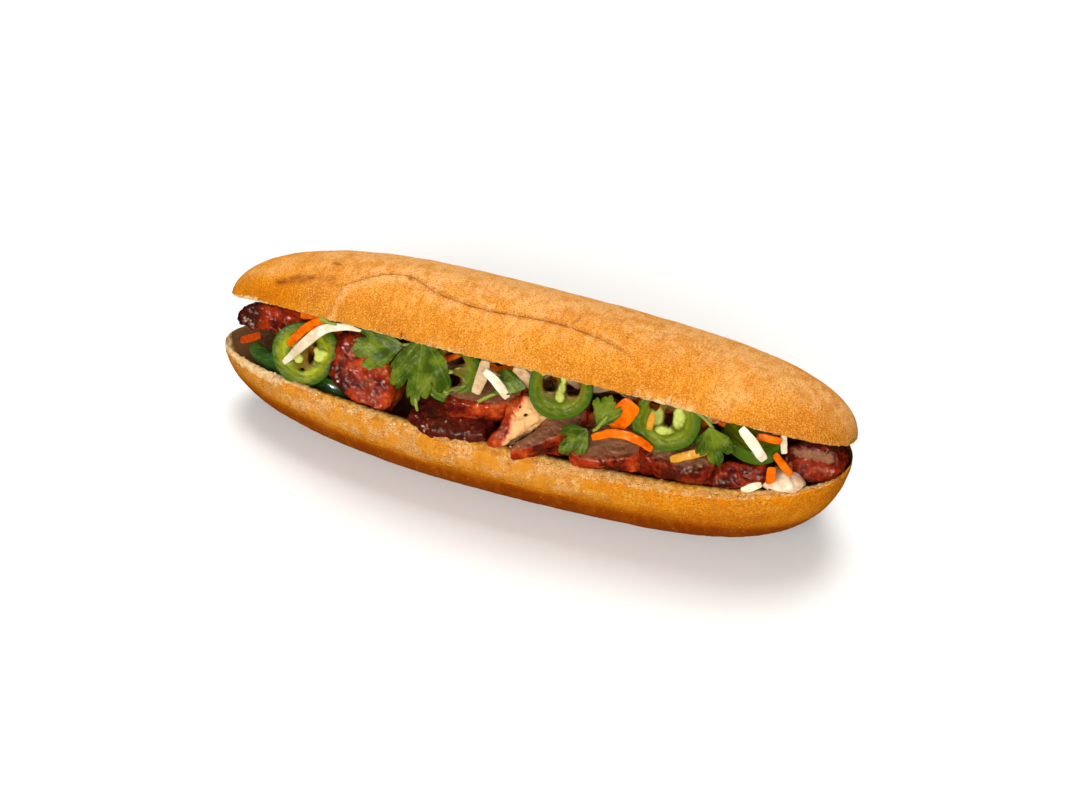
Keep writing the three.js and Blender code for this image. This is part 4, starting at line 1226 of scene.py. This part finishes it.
def make_coriander(settings):
    material = leaf_material(settings)
    for number, spec in enumerate(CORIANDER, 1):
        piece = leaf_blade(f"coriander_leaf_{number}", spec, number, settings.spokes)
        finish_piece(piece, material, "coriander", f"coriander_{number}")
    points, faces = [], []
    for route in STEMS:
        path = curve_through(route, STEM_SECTIONS)
        stem_points, stem_faces = skin(tube(path, np.linspace(*STEM_RADII, STEM_SECTIONS)))
        faces += [[index + len(points) for index in face] for face in stem_faces]
        points += stem_points.tolist()
    pale = np.full(len(points), STEM_PALE)
    stems = new_piece("coriander_stems", points, faces, dict(vein=pale, under=pale))
    finish_piece(stems, material, "coriander")


# ---------------------------------------------------------------- pickled carrot and daikon

# Each shred: the points it passes, its width and its thickness.
CARROT = (
    (((-96, -15, 42), (-89, -15, 51), (-83, -14, 56), (-77, -13, 59)), 3.6, 2.0),
    (((-124, -3, 28), (-113, -6, 36)), 3.4, 2.2),
    (((-93, -8, 53), (-86, -9, 55.5), (-78, -10, 57)), 4.0, 2.0),
    (((44, -25, 47), (48, -24, 53), (52, -22, 59)), 9.0, 2.0),
    (((38, -30, 44), (45, -30, 48), (51, -30, 49), (57, -30, 48), (62, -29, 44)), 3.6, 2.0),
    (((69, -28, 40.5), (76, -27, 44), (83, -24, 46)), 3.4, 2.2),
    (((100, -20, 55), (109, -18, 53)), 3.0, 1.8),
    (((107, -23, 35.5), (107, -22, 43)), 3.8, 2.0),
    (((107, -19.5, 47.5), (114, -19, 39)), 3.0, 2.0),
)
DAIKON = (
    (((-100, -18, 31), (-90, -19, 44), (-79, -18, 56), (-69, -18, 60), (-61, -18, 60)), 4.2, 2.0),
    (((-7, -26, 61), (-2, -27, 58), (3, -28, 52)), 3.6, 2.0),
    (((95, -25, 61), (100, -26, 56), (105, -26, 49)), 4.0, 1.8),
    (((97, -27, 32.5), (104, -24, 35.5)), 3.0, 2.0),
    (((-9, -20, 61), (-10, -22, 54), (-12, -24, 47)), 4.6, 2.0),
    (((2, -20, 59), (7, -20, 58), (11, -21, 54)), 4.4, 2.0),
    (((61, -26.5, 60), (60, -28, 52.5)), 2.6, 1.6),
    (((109, -15, 54), (110, -16, 46)), 2.6, 2.0),
)
TAPERS = {"daikon_1": 0.8}  # this one comes to a point at both ends
TAPER = 0.2
# Materials by the settings that colour them, from dark to pale, and shreds that take another one: the glaze
# coloured most of them, and carrot_2 is painted darker as shade at the heel's left end.
SHRED_TONES = {
    "pickled_carrot": ("carrot_deep", "carrot", "carrot_pale"),
    "pickled_daikon": ("daikon_deep", "daikon", "daikon_pale"),
    "shaded_carrot": ("carrot_shaded", "carrot_shaded", "carrot_deep"),
    "amber_shred": ("amber_deep", "amber", "amber"),
    "stained_daikon": ("stain_deep", "stain", "daikon_deep"),
}
CARROT_GLOSS, PALE_GLOSS = (1, 0.5, 0.15), (1, 0.9, 0.75)
STAINED = {
    "carrot_2": "shaded_carrot", "carrot_6": "amber_shred", "daikon_5": "stained_daikon",
    "daikon_6": "stained_daikon", "daikon_7": "amber_shred",
}
# The heap fills the mouth between these ends and depths. In front of its step it goes down to its
# bottom, and behind it to the crumb.
HEAP_X, HEAP_Y = (-44, 98), (-4, 24)
HEAP_STEP_Y, HEAP_BOTTOM = 4, 47
HEAP_SECTIONS, HEAP_POINTS = 60, 26
HEAP_SHRED_Y = (-10, 3)
HEAP_SHRED_DROP = 0.6  # keeps a shred's upper side under the lid too
HEAP_SHRED_SIZE = dict(width=2.6, thickness=1.8)


def shred_tree(name, material):
    """A squared bar with soft corners along every line of edges."""
    grow = Growth(name, {"Width": 3.4, "Thickness": 2.0, "Corner": 0.5, "Taper": 0.15, "Unevenness": 0.35})
    lines = grow.add("GeometryNodeMeshToCurve", {0: grow.start})
    normal = {"Curve": lines, "Normal": (0.25, -0.72, 0.64)}
    facing = grow.add("GeometryNodeSetCurveNormal", normal, mode="FREE")
    outward = abs(grow.add("GeometryNodeSplineParameter") * 2 - 1)
    narrow = (1 - outward**2 * grow["Taper"]) * (1 - outward**14 * 0.2)
    sized = grow.add("GeometryNodeSetCurveRadius", {"Curve": facing, "Radius": narrow})
    sides = {"Width": grow["Thickness"] * MM, "Height": grow["Width"] * MM}
    section = grow.add("GeometryNodeCurvePrimitiveQuadrilateral", sides)
    corner = {"Radius": grow["Corner"] * MM, "Count": 3, "Limit Radius": True}
    soft = grow.add("GeometryNodeFilletCurve", {"Curve": section, **corner}, mode="POLY")
    profile = {"Profile Curve": soft, "Fill Caps": True, "Scale": narrow}
    bar = grow.add("GeometryNodeCurveToMesh", {"Curve": sized, **profile})
    moved = grow.shaken(bar, 260, grow["Unevenness"] * (2 * MM), detail=1)
    rounded = grow.add("GeometryNodeSetShadeSmooth", {"Geometry": moved, "Shade Smooth": True})
    return grow.finish(rounded, material)


def shred_material(name, deep, middle, pale, tint):
    """Wet, slightly clear root with fine strings."""
    nodes = Shading(name)
    fibre = nodes.noise(500, 3, nodes.stretched(0.5, 1, 1))
    tone = fibre * 0.45 + nodes.noise(150) * 0.55
    return nodes.surface(
        bumps=((fibre, 0.0004, 0.4),),
        base_color=nodes.ramp(tone, (0.36, deep), (0.48, middle), (0.62, pale)),
        roughness=fibre.range(0.3, 0.7, 0.2, 0.36),
        specular_ior_level=0.4,
        specular_tint=tint,
        coat_weight=0.06,
        coat_roughness=0.08,
        subsurface_weight=0.25,
        subsurface_radius=(0.003, 0.0015, 0.0005),
        subsurface_scale=0.7,
    )


def shred_lines(name, routes, steps=22):
    """Bare lines of edges through each route, for the shred tree."""
    points, edges = [], []
    for route in routes:
        start = len(points)
        points += curve_through(route, steps).tolist()
        edges += [(i, i + 1) for i in range(start, len(points) - 1)]
    return new_piece(name, points, [], edges=edges)


def make_shreds(settings):
    materials = {}
    for name, tones in SHRED_TONES.items():
        tint = CARROT_GLOSS if name == "pickled_carrot" else PALE_GLOSS
        materials[name] = shred_material(name, *(getattr(settings, tone) for tone in tones), tint)
    for kind, specs in (("carrot", CARROT), ("daikon", DAIKON)):
        for number, (route, width, thickness) in enumerate(specs, 1):
            node = f"{kind}_{number}"
            material = materials[STAINED.get(node, f"pickled_{kind}")]
            piece = shred_lines(f"{kind}_shred_{number}", [route])
            sizes = dict(width=width, thickness=thickness, taper=TAPERS.get(node, TAPER))
            with_nodes(piece, shred_tree(f"{kind}_shred", material), **sizes)
            finish_piece(piece, material, kind, node)


def heap_core():
    """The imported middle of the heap, behind what shows."""
    x = np.linspace(*HEAP_X, HEAP_SECTIONS)[:, None]
    a = 2 * pi * np.arange(HEAP_POINTS) / HEAP_POINTS
    full = 0.35 + 0.65 * np.sqrt(1 - np.linspace(-1, 1, HEAP_SECTIONS)[:, None] ** 4)
    front, back = HEAP_Y
    y = front + (back - front) * (0.5 - 0.5 * np.cos(a)) + 1.4 * waver(x, 23, 2)
    high = ceiling_at(x, y) - 2.5 + 1.2 * waver(x, 19, 1)
    low = np.where(y < HEAP_STEP_Y, HEAP_BOTTOM, floor_at(x, y) + 1)
    high = np.maximum(high, low + 1)
    middle = (high + low) / 2
    z = middle + full * (0.3 + 0.7 * np.abs(np.sin(a))) * np.sign(np.sin(a)) * (high - middle)
    loops = xyz(x, y, z)
    loops += (0.9 * lumps(loops, 7, 3) + 0.5 * lumps(loops, 3, 1))[..., None] * (0, -1, 0.6)
    return keep_in_mouth(loops)


def make_heap(settings):
    draw = np.random.default_rng(settings.seed)
    # The packed core is dark brown, pickle with bits of pork, and darker still as painted shade for the
    # deep gaps; its daikon takes the stained daikon's darker colour, partly stain and partly painted shade
    # under the lid.
    tones = (0.4, (0.16, 0.05, 0.015)), (0.55, (0.45, 0.16, 0.04)), (0.68, (0.62, 0.42, 0.24))
    packed = mottled("packed_pickle", 330, tones, (0.0012, 0.6), 3, (0.35, 1, 1), roughness=0.35)
    finish_piece(lofted("pickle_heap_core", heap_core()), packed, "pickle", "pickle_heap")
    for kind, tone in (("carrot", "pickled_carrot"), ("daikon", "stained_daikon")):
        routes = []
        for _ in range(settings.shreds // 2):
            x = draw.uniform(*HEAP_X)
            y = draw.uniform(*HEAP_SHRED_Y)
            z = draw.uniform(HEAP_BOTTOM + 1, max(HEAP_BOTTOM + 2, float(ceiling_at(x, y)) - 3))
            swing, reach, bow = draw.uniform(-0.9, 0.9), draw.uniform(6, 12), draw.uniform(-3, 3)
            along, rise = reach * cos(swing), reach * sin(swing) * 0.7
            route = np.array([
                (x - along, y + draw.uniform(0, 4), z - rise),
                (x, y - 1.5, z + bow),
                (x + along, y + draw.uniform(0, 4), z + rise),
            ])
            routes.append(keep_in_mouth(route) - (0, 0, HEAP_SHRED_DROP))
        material = bpy.data.materials[tone]
        piece = shred_lines(f"pickle_heap_{kind}", routes, 14)
        with_nodes(piece, shred_tree(f"heap_{kind}", material), **HEAP_SHRED_SIZE)
        finish_piece(piece, material, kind, "pickle_heap")


# ---------------------------------------------------------------- cucumber and mayonnaise

SPEAR = ((-119, -3, 27), (-104, -9, 25.5), (-88, -12, 24), (-70, -14, 23))
SPEAR_SECTIONS, RIND_POINTS = 70, 22
RIND_OUT, RIND_UP = 5.5, 5  # how far the rind rounds forward, and up and down
SPEAR_BACK = ((2.2, -2.25), (4.4, 0), (2.2, 2.4))  # the cut flesh behind it, as y and z
SMEAR_GRID = (60, 80)
SMEAR_SIZE = (10, 6.3, 3.2)  # half its length, depth and height
SMEAR_PLACE = (109.5, -17.8, 34.4)


def make_cucumber(settings):
    path = curve_through(SPEAR, SPEAR_SECTIONS)
    full = np.maximum(1 - np.abs(np.linspace(-1, 1, SPEAR_SECTIONS)) ** 6, 0) ** 0.4 * 0.8 + 0.2
    a = pi * (0.03 + 0.97 * np.linspace(0, 1, RIND_POINTS))
    loops = []
    for p, f in zip(path, full):
        front = xyz(p[0], p[1] - f * RIND_OUT * np.sin(a), p[2] + f * RIND_UP * np.cos(a))
        back = [(p[0], p[1] + f * y, p[2] + f * z) for y, z in SPEAR_BACK]
        loops.append(np.vstack([front, back])[::-1])
    loops = np.array(loops)
    loops += (0.3 * lumps(loops, 11, 2))[..., None] * (0, -1, 0)
    nodes = Shading("cucumber")
    streak = nodes.noise(240, 3, nodes.stretched(0.2, 1, 1))
    green = nodes.ramp(streak, (0.38, settings.rind_deep), (0.62, settings.rind))
    material = nodes.surface(
        bumps=((streak, 0.0004, 0.3),),
        base_color=nodes.blend(nodes.layer("skin"), settings.flesh, green),
        roughness=streak.range(0.3, 0.7, 0.2, 0.34),
        coat_weight=0.3,
        coat_roughness=0.08,
        subsurface_weight=0.1,
        subsurface_scale=0.003,
    )
    is_skin = np.repeat([0, 1], [len(SPEAR_BACK), RIND_POINTS])
    piece = lofted("cucumber_spear", keep_in_mouth(loops), skin=is_skin)
    finish_piece(piece, material, "cucumber", "cucumber")


def make_mayonnaise(settings):
    """A smear pressed out on to the crumb, with folded ridges."""
    rows, around = SMEAR_GRID
    v = np.linspace(0.98, 0.02, rows)[:, None] * pi
    a = 2 * pi * np.arange(around) / around
    p = xyz(np.sin(v) * np.cos(a), np.sin(v) * np.sin(a), np.cos(v))
    folds = 0.05 * np.sin(9 * p[..., 0] + 5 * p[..., 1]) * smooth(p[..., 2], 0, 0.6)
    swell = 1 + 0.16 * lumps(p, 1.7, 3) + folds
    loops = keep_in_mouth(p * swell[..., None] * SMEAR_SIZE + SMEAR_PLACE)
    material = mottled(
        "mayonnaise", 180, ((0.38, settings.sauce_deep), (0.6, settings.sauce)), (0.0006, 0.4),
        roughness=0.16, coat_weight=0.5, coat_roughness=0.05, subsurface_weight=0.3, subsurface_scale=0.003,
    )
    finish_piece(lofted("mayonnaise_smear", loops), material, "mayonnaise", "mayonnaise")


# ---------------------------------------------------------------- crumbs

RIM_GRID = (260, 8)
RIM_STRIP = (-1, -0.7)  # crumbs lie from the heel's front rim back, in half widths from its middle


def crumb_tree(material):
    """Small broken crumbs scattered where the surface's edge layer is partly on."""
    grow = Growth("torn_crumbs", {"Density": 90000.0, "Size": 0.8, "Seed": 11})
    seed = {"Seed": grow["Seed"]}
    scatter = {"Mesh": grow.start, "Density": grow.layer("edge") * grow["Density"], **seed}
    scattered = grow.add("GeometryNodeDistributePointsOnFaces", scatter)
    ball = grow.add("GeometryNodeMeshIcoSphere", {"Radius": 0.5 * MM, "Subdivisions": 2})
    crumb = grow.shaken(ball, 1500, 0.7 * MM)
    size = grow.add("FunctionNodeRandomValue", {2: 0.35, 3: 1.3, **seed}, data_type="FLOAT", out=1)
    turns = {0: (0, 0, 0), 1: (6, 6, 6), **seed}
    turn = grow.add("FunctionNodeRandomValue", turns, data_type="FLOAT_VECTOR")
    placed = {"Rotation": turn, "Scale": size * grow["Size"]}
    crumbs = grow.add("GeometryNodeInstanceOnPoints", {"Points": scattered, "Instance": crumb, **placed})
    return grow.finish(crumbs, material)


def make_crumbs(settings):
    tones = (0.4, settings.crumb_brown), (0.6, settings.crumb_cream)
    material = mottled("loose_crumb", 300, tones, (0.0002, 0.3), roughness=0.8)
    rows, columns = RIM_GRID
    x = stations(rows)[:, None]
    v = np.linspace(*RIM_STRIP, columns)
    grid = xyz(x, v * heel_half_width(x) + sweep_at(x), slit_at(x) + crumb_height(x, v) + 0.1)
    grid[..., 2] += 0.5 * waver(x, 4.7, 5)
    edge = np.clip(0.35 + waver(x, 21, 7), 0, 1) * smooth(v, -0.72, -0.92) * fullness(x, 4)
    i = np.arange(rows - 1)[:, None] * columns + np.arange(columns - 1)
    quads = np.stack([i, i + columns, i + columns + 1, i + 1], axis=-1).reshape(-1, 4)
    piece = new_piece("torn_crumbs", grid.reshape(-1, 3), quads, {"edge": edge})
    with_nodes(piece, crumb_tree(material), density=settings.density, size=settings.size / MM)
    finish_piece(piece, material, "bread")


# ---------------------------------------------------------------- stage, lights and camera

FLOOR_HALF = 12.0  # metres, as is all that follows
AMBIENT_TINT, LAMP_TINT = (1.0, 0.985, 0.96, 1), (1.0, 0.99, 0.97)
LAMP_AIM = Vector((0, 0, 0.04))
KEY_PLACE, KEY_ANGLE = (-0.25, 0.7, 1.1), radians(45)
FILL_PLACE, FILL_SIZE = (0.22, -1.3, 0.68), (2.2, 0.6)
GLINT_SIZE = (0.13, 0.1)
# The small lamps for highlights: where each is, and its power against the largest one's.
GLINTS = {
    "glint_left": ((-0.4, -0.6, 1.3), 1),
    "glint_right": ((0.4, -0.8, 1.1), 0.5),
    "glint_low": ((-0.25, -1.15, 0.62), 0.5),
}
CAMERA_AZIMUTH, CAMERA_ELEVATION = radians(20.34), radians(38.81)
CAMERA_PLACE = (0.27208, -0.72518 + SHIFT_Y * MM, 0.65211)
SENSOR_WIDTH = 36  # in millimetres, as the lens


def aimed(light, place, power):
    light.energy = power
    light.color = LAMP_TINT
    lamp = in_scene(light.name, light)
    turn = (LAMP_AIM - Vector(place)).to_track_quat("-Z", "Y")
    lamp.matrix_world = Matrix.Translation(place) @ turn.to_matrix().to_4x4()
    return lamp


def softbox(name, place, size, power):
    light = bpy.data.lights.new(name, "AREA")
    light.shape = "RECTANGLE"
    light.size, light.size_y = size
    return aimed(light, place, power)


def make_stage(settings):
    mesh = bpy.data.meshes.new("floor")
    corners = [(x * FLOOR_HALF, y * FLOOR_HALF, 0) for x, y in ((-1, -1), (1, -1), (1, 1), (-1, 1))]
    mesh.from_pydata(corners, [], [(0, 1, 2, 3)])
    floor = in_scene("floor", mesh)
    mesh.materials.append(Shading("pale_floor").surface((), base_color=settings.floor, roughness=0.6))
    # The food lies as if on a dark board: no floor in its gloss and no light from below.
    floor.visible_glossy = floor.visible_diffuse = False

    scene = bpy.context.scene
    scene.world = world = bpy.data.worlds.new("studio")
    world.use_nodes = True
    colour, strength = world.node_tree.nodes["Background"].inputs[:2]
    colour.default_value = AMBIENT_TINT
    strength.default_value = settings.ambient
    world.cycles_visibility.glossy = False
    scene.view_settings.view_transform = "Standard"

    # A soft far light from behind keeps the floor evenly pale on every side.
    light = bpy.data.lights.new("key_light", "SUN")
    light.angle = KEY_ANGLE
    key = aimed(light, KEY_PLACE, settings.key_power)
    fill = softbox("fill_softbox", FILL_PLACE, FILL_SIZE, settings.fill_power)
    key.visible_glossy = fill.visible_glossy = False  # wet food shows the small lamps, not a grey veil
    for name, (place, share) in GLINTS.items():
        softbox(name, place, GLINT_SIZE, settings.glint_power * share).visible_diffuse = False

    data = bpy.data.cameras.new("camera")
    data.lens = settings.lens
    data.sensor_width = SENSOR_WIDTH
    camera = scene.camera = in_scene("camera", data)
    flat = cos(CAMERA_ELEVATION)
    back = Vector((sin(CAMERA_AZIMUTH) * flat, -cos(CAMERA_AZIMUTH) * flat, sin(CAMERA_ELEVATION)))
    turn = back.to_track_quat("Z", "Y").to_matrix().to_4x4()
    camera.matrix_world = Matrix.Translation(CAMERA_PLACE) @ turn


# ---------------------------------------------------------------- what a user can change


def colour_of(name, description, default):
    words = dict(name=name, description=description)
    return FloatVectorProperty(**words, default=default, subtype="COLOR", size=3, min=0, max=1)


def count_of(name, description, default, least):
    return IntProperty(name=name, description=description, default=default, min=least)


def amount_of(name, description, default, least=0, **unit):
    return FloatProperty(name=name, description=description, default=default, min=least, **unit)


def length_of(name, description, default):
    return amount_of(name, description, default, subtype="DISTANCE", unit="LENGTH")


class LoafSettings(PropertyGroup):
    stations: count_of("Stations", "Sections along the loaf", 560, 40)
    front_rows: count_of("Front rows", "Rows between the mouth and the score", 50, 8)
    back_rows: count_of("Back rows", "Rows behind the score", 80, 8)
    heel_rows: count_of("Heel rows", "Rows round the heel's crust", 110, 16)
    crumb_rows: count_of("Crumb rows", "Rows across the crumb", 34, 8)
    swell_size: length_of("Swell size", "Width of the crust's broad swellings", 0.012)
    swell_height: length_of("Swell height", "Height of the crust's broad swellings", 0.0007)
    blister_size: length_of("Blister size", "Width of the crust's small blisters", 0.0017)
    blister_height: length_of("Blister height", "Height of the crust's small blisters", 0.00022)
    grain: amount_of("Grain", "Tiny blisters in a metre", 1300.0, 1)
    crust: colour_of("Crust", "The crust's usual gold", (0.76, 0.265, 0.014))
    # Also paints the sheen along the top of the lid.
    crust_pale: colour_of("Pale crust", "Floury patches and stretched crust", (0.95, 0.53, 0.21))
    crust_deep: colour_of("Deep crust", "The better baked patches", (0.58, 0.155, 0.006))
    # Richer gold below the heel's crease and at the lid's left end, and the first part of the painted shade
    # towards the underside.
    crust_rich: colour_of("Rich crust", "How the better baked crust deepens", (1.0, 0.86, 0.25))
    # Painted shade that darkens the crust towards the underside.
    crust_low: colour_of("Low crust", "How the crust darkens near the underside", (0.5, 0.3, 0.12))
    puffed: colour_of("Puffed crust", "The raised patches of the torn band", (0.88, 0.33, 0.02))
    flake: colour_of("Flakes", "Pale flakes on the torn band", (0.93, 0.62, 0.28))
    blister: colour_of("Blister", "The tops of the tiny blisters", (0.93, 0.47, 0.085))
    # Burnt flecks, and the painted shade down in folds, creases and the score.
    scorch: colour_of("Scorch", "Folds and flecks", (0.3, 0.075, 0.01))
    crumb: colour_of("Crumb", "The torn inside", (0.84, 0.64, 0.37))
    crumb_shade: colour_of("Crumb shade", "Pores and damp crumb", (0.68, 0.38, 0.13))
    # Painted shade: this colour darkens the crumb deep in the mouth, where shade falls between the
    # fillings.
    soaked: colour_of("Soaked crumb", "Crumb deep in the mouth, wet with sauce", (0.125, 0.047, 0.015))


class PorkSettings(PropertyGroup):
    points_round: count_of("Points round", "Points round each slice", 140, 24)
    lump_height: length_of("Lump height", "Height of the meat's lumps", 0.0011)
    bark: colour_of("Bark", "The darkest glaze", (0.055, 0.005, 0.003))
    glaze: colour_of("Glaze", "The glaze's usual red", (0.21, 0.014, 0.003))
    glaze_bright: colour_of("Bright glaze", "Where the glaze is thinner", (0.35, 0.034, 0.007))
    glaze_thin: colour_of("Thin glaze", "Where the glaze is thinnest", (0.52, 0.085, 0.016))
    char: colour_of("Char", "Burnt edges", (0.028, 0.006, 0.004))
    meat: colour_of("Meat", "Cut meat", (0.22, 0.09, 0.042))
    meat_deep: colour_of("Deep meat", "Between the cut fibres", (0.17, 0.052, 0.022))
    meat_pale: colour_of("Pale meat", "On the cut fibres", (0.27, 0.15, 0.07))
    fat: colour_of("Fat", "Bands of fat", (0.78, 0.43, 0.17))
    fat_pink: colour_of("Pink fat", "Where fat meets the glaze", (0.66, 0.15, 0.06))


class ChilliSettings(PropertyGroup):
    voxel: length_of("Mesh size", "Size of the rings' faces", 0.00045)
    skin: colour_of("Skin", "The glossy outside", (0.055, 0.115, 0.006))
    flesh: colour_of("Flesh", "The wall", (0.19, 0.2, 0.005))
    flesh_pale: colour_of("Pale flesh", "The wall's paler middle", (0.33, 0.36, 0.01))
    flesh_deep: colour_of("Deep flesh", "Where the wall is clear and dark", (0.045, 0.085, 0.002))
    inner: colour_of("Inside", "Damp flesh inside the wall", (0.17, 0.085, 0.01))
    pith: colour_of("Pith", "The pale ribs that hold the seeds", (0.52, 0.57, 0.12))


class LeafSettings(PropertyGroup):
    spokes: count_of("Spokes", "Points across each leaf", 170, 20)
    leaf: colour_of("Leaf", "The blade's green", (0.125, 0.165, 0.008))
    leaf_deep: colour_of("Deep leaf", "Shaded parts of the blade", (0.036, 0.066, 0.003))
    vein: colour_of("Vein", "Veins, stems and undersides", (0.28, 0.36, 0.05))


class PickleSettings(PropertyGroup):
    carrot: colour_of("Carrot", "Carrot", (0.7, 0.115, 0.001))
    carrot_deep: colour_of("Deep carrot", "Between its strings", (0.5, 0.05, 0.001))
    carrot_pale: colour_of("Pale carrot", "Its cut edges", (0.8, 0.17, 0.003))
    # Painted shade for carrot_2, which lies in shadow at the heel's left end.
    carrot_shaded: colour_of("Shaded carrot", "Carrot soaked dark", (0.42, 0.05, 0.001))
    amber: colour_of("Amber carrot", "Carrot that the glaze has coloured", (0.62, 0.27, 0.02))
    amber_deep: colour_of("Deep amber", "Between its strings", (0.45, 0.15, 0.01))
    stain: colour_of("Stained daikon", "Daikon that the glaze has coloured", (0.58, 0.38, 0.2))
    stain_deep: colour_of("Deep stain", "Between its strings", (0.45, 0.22, 0.12))
    daikon: colour_of("Daikon", "Daikon", (0.74, 0.64, 0.45))
    daikon_deep: colour_of("Deep daikon", "Between its strings", (0.66, 0.5, 0.31))
    daikon_pale: colour_of("Pale daikon", "Its cut edges", (0.84, 0.78, 0.64))
    shreds: count_of("Shreds", "Shreds in the heap", 150, 0)
    seed: count_of("Seed", "The draw that lays the heap", 5, 0)


class CucumberSettings(PropertyGroup):
    rind: colour_of("Rind", "Paler streaks of the rind", (0.045, 0.11, 0.012))
    rind_deep: colour_of("Deep rind", "The rind", (0.01, 0.034, 0.005))
    flesh: colour_of("Flesh", "Cut flesh", (0.45, 0.55, 0.25))


class SauceSettings(PropertyGroup):
    sauce: colour_of("Sauce", "Mayonnaise", (0.86, 0.67, 0.47))
    sauce_deep: colour_of("Deep sauce", "Where juice has run into it", (0.68, 0.4, 0.24))


class CrumbSettings(PropertyGroup):
    density: amount_of("Density", "Crumbs on each square metre", 60000.0)
    size: length_of("Size", "Width of a crumb", 0.0009)
    crumb_cream: colour_of("Cream", "Inside crumbs", (0.82, 0.62, 0.36))
    crumb_brown: colour_of("Brown", "Crust crumbs", (0.6, 0.3, 0.09))


class StageSettings(PropertyGroup):
    floor: colour_of("Floor", "The floor", (0.76, 0.755, 0.745))
    ambient: amount_of("Ambient", "Light from all round", 0.25)
    key_power: amount_of("Key", "The soft light from behind, in watts for each square metre", 3.8)
    fill_power: amount_of("Fill", "The softbox in front", 37.0, unit="POWER")
    glint_power: amount_of("Glint", "The largest of the small lamps for highlights", 10.0, unit="POWER")
    lens: amount_of("Lens", "Focal length", 84.28, 10, unit="CAMERA")


# ---------------------------------------------------------------- operators and panel


class SANDWICH_OT_loaf(Operator):
    """Make the lid, the heel and the uncut back"""

    bl_idname = "sandwich.loaf"
    bl_label = "Loaf"

    def execute(self, context):
        make_loaf(context.scene.sandwich_loaf)
        return {"FINISHED"}


class SANDWICH_OT_pork(Operator):
    """Make the slices of roast pork"""

    bl_idname = "sandwich.pork"
    bl_label = "Roast pork"

    def execute(self, context):
        make_pork(context.scene.sandwich_pork)
        return {"FINISHED"}


class SANDWICH_OT_chilli(Operator):
    """Make the chilli rings and their seeds"""

    bl_idname = "sandwich.chilli"
    bl_label = "Chilli rings"

    def execute(self, context):
        make_chilli(context.scene.sandwich_chilli)
        return {"FINISHED"}


class SANDWICH_OT_coriander(Operator):
    """Make the coriander leaves and stems"""

    bl_idname = "sandwich.coriander"
    bl_label = "Coriander"

    def execute(self, context):
        make_coriander(context.scene.sandwich_leaf)
        return {"FINISHED"}


class SANDWICH_OT_pickle(Operator):
    """Make the carrot and daikon shreds and the heap behind them"""

    bl_idname = "sandwich.pickle"
    bl_label = "Pickle"

    def execute(self, context):
        make_shreds(context.scene.sandwich_pickle)
        make_heap(context.scene.sandwich_pickle)
        return {"FINISHED"}


class SANDWICH_OT_cucumber(Operator):
    """Make the cucumber spear"""

    bl_idname = "sandwich.cucumber"
    bl_label = "Cucumber"

    def execute(self, context):
        make_cucumber(context.scene.sandwich_cucumber)
        return {"FINISHED"}


class SANDWICH_OT_mayonnaise(Operator):
    """Make the smear of mayonnaise"""

    bl_idname = "sandwich.mayonnaise"
    bl_label = "Mayonnaise"

    def execute(self, context):
        make_mayonnaise(context.scene.sandwich_sauce)
        return {"FINISHED"}


class SANDWICH_OT_crumbs(Operator):
    """Scatter crumbs along the torn rim"""

    bl_idname = "sandwich.crumbs"
    bl_label = "Crumbs"

    def execute(self, context):
        make_crumbs(context.scene.sandwich_crumbs)
        return {"FINISHED"}


class SANDWICH_OT_stage(Operator):
    """Make the floor, the lights and the camera"""

    bl_idname = "sandwich.stage"
    bl_label = "Stage"

    def execute(self, context):
        make_stage(context.scene.sandwich_stage)
        return {"FINISHED"}


SETTINGS = {
    "sandwich_loaf": LoafSettings,
    "sandwich_pork": PorkSettings,
    "sandwich_chilli": ChilliSettings,
    "sandwich_leaf": LeafSettings,
    "sandwich_pickle": PickleSettings,
    "sandwich_cucumber": CucumberSettings,
    "sandwich_sauce": SauceSettings,
    "sandwich_crumbs": CrumbSettings,
    "sandwich_stage": StageSettings,
}
OPERATORS = (
    SANDWICH_OT_loaf,
    SANDWICH_OT_pork,
    SANDWICH_OT_chilli,
    SANDWICH_OT_coriander,
    SANDWICH_OT_pickle,
    SANDWICH_OT_cucumber,
    SANDWICH_OT_mayonnaise,
    SANDWICH_OT_crumbs,
    SANDWICH_OT_stage,
)


class SANDWICH_PT_panel(Panel):
    """Lists the sandwich's pieces"""

    bl_label = "Sandwich"
    bl_idname = "SANDWICH_PT_panel"
    bl_space_type = "VIEW_3D"
    bl_region_type = "UI"
    bl_category = "Sandwich"

    def draw(self, context):
        for operator in OPERATORS:
            self.layout.operator(operator.bl_idname)
        for key in SETTINGS:
            group = getattr(context.scene, key)
            box = self.layout.box()
            for name in group.bl_rna.properties.keys():
                if name not in {"rna_type", "name"}:
                    box.prop(group, name)


def register():
    for kind in (*SETTINGS.values(), *OPERATORS, SANDWICH_PT_panel):
        bpy.utils.register_class(kind)
    for key, settings in SETTINGS.items():
        setattr(bpy.types.Scene, key, PointerProperty(type=settings))


def unregister():
    for key in SETTINGS:
        delattr(bpy.types.Scene, key)
    for kind in (SANDWICH_PT_panel, *reversed(OPERATORS), *reversed(SETTINGS.values())):
        bpy.utils.unregister_class(kind)


def main():
    register()
    for operator in OPERATORS:
        group, name = operator.bl_idname.split(".")
        getattr(getattr(bpy.ops, group), name)()
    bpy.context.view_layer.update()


if __name__ == "__main__":
    main()
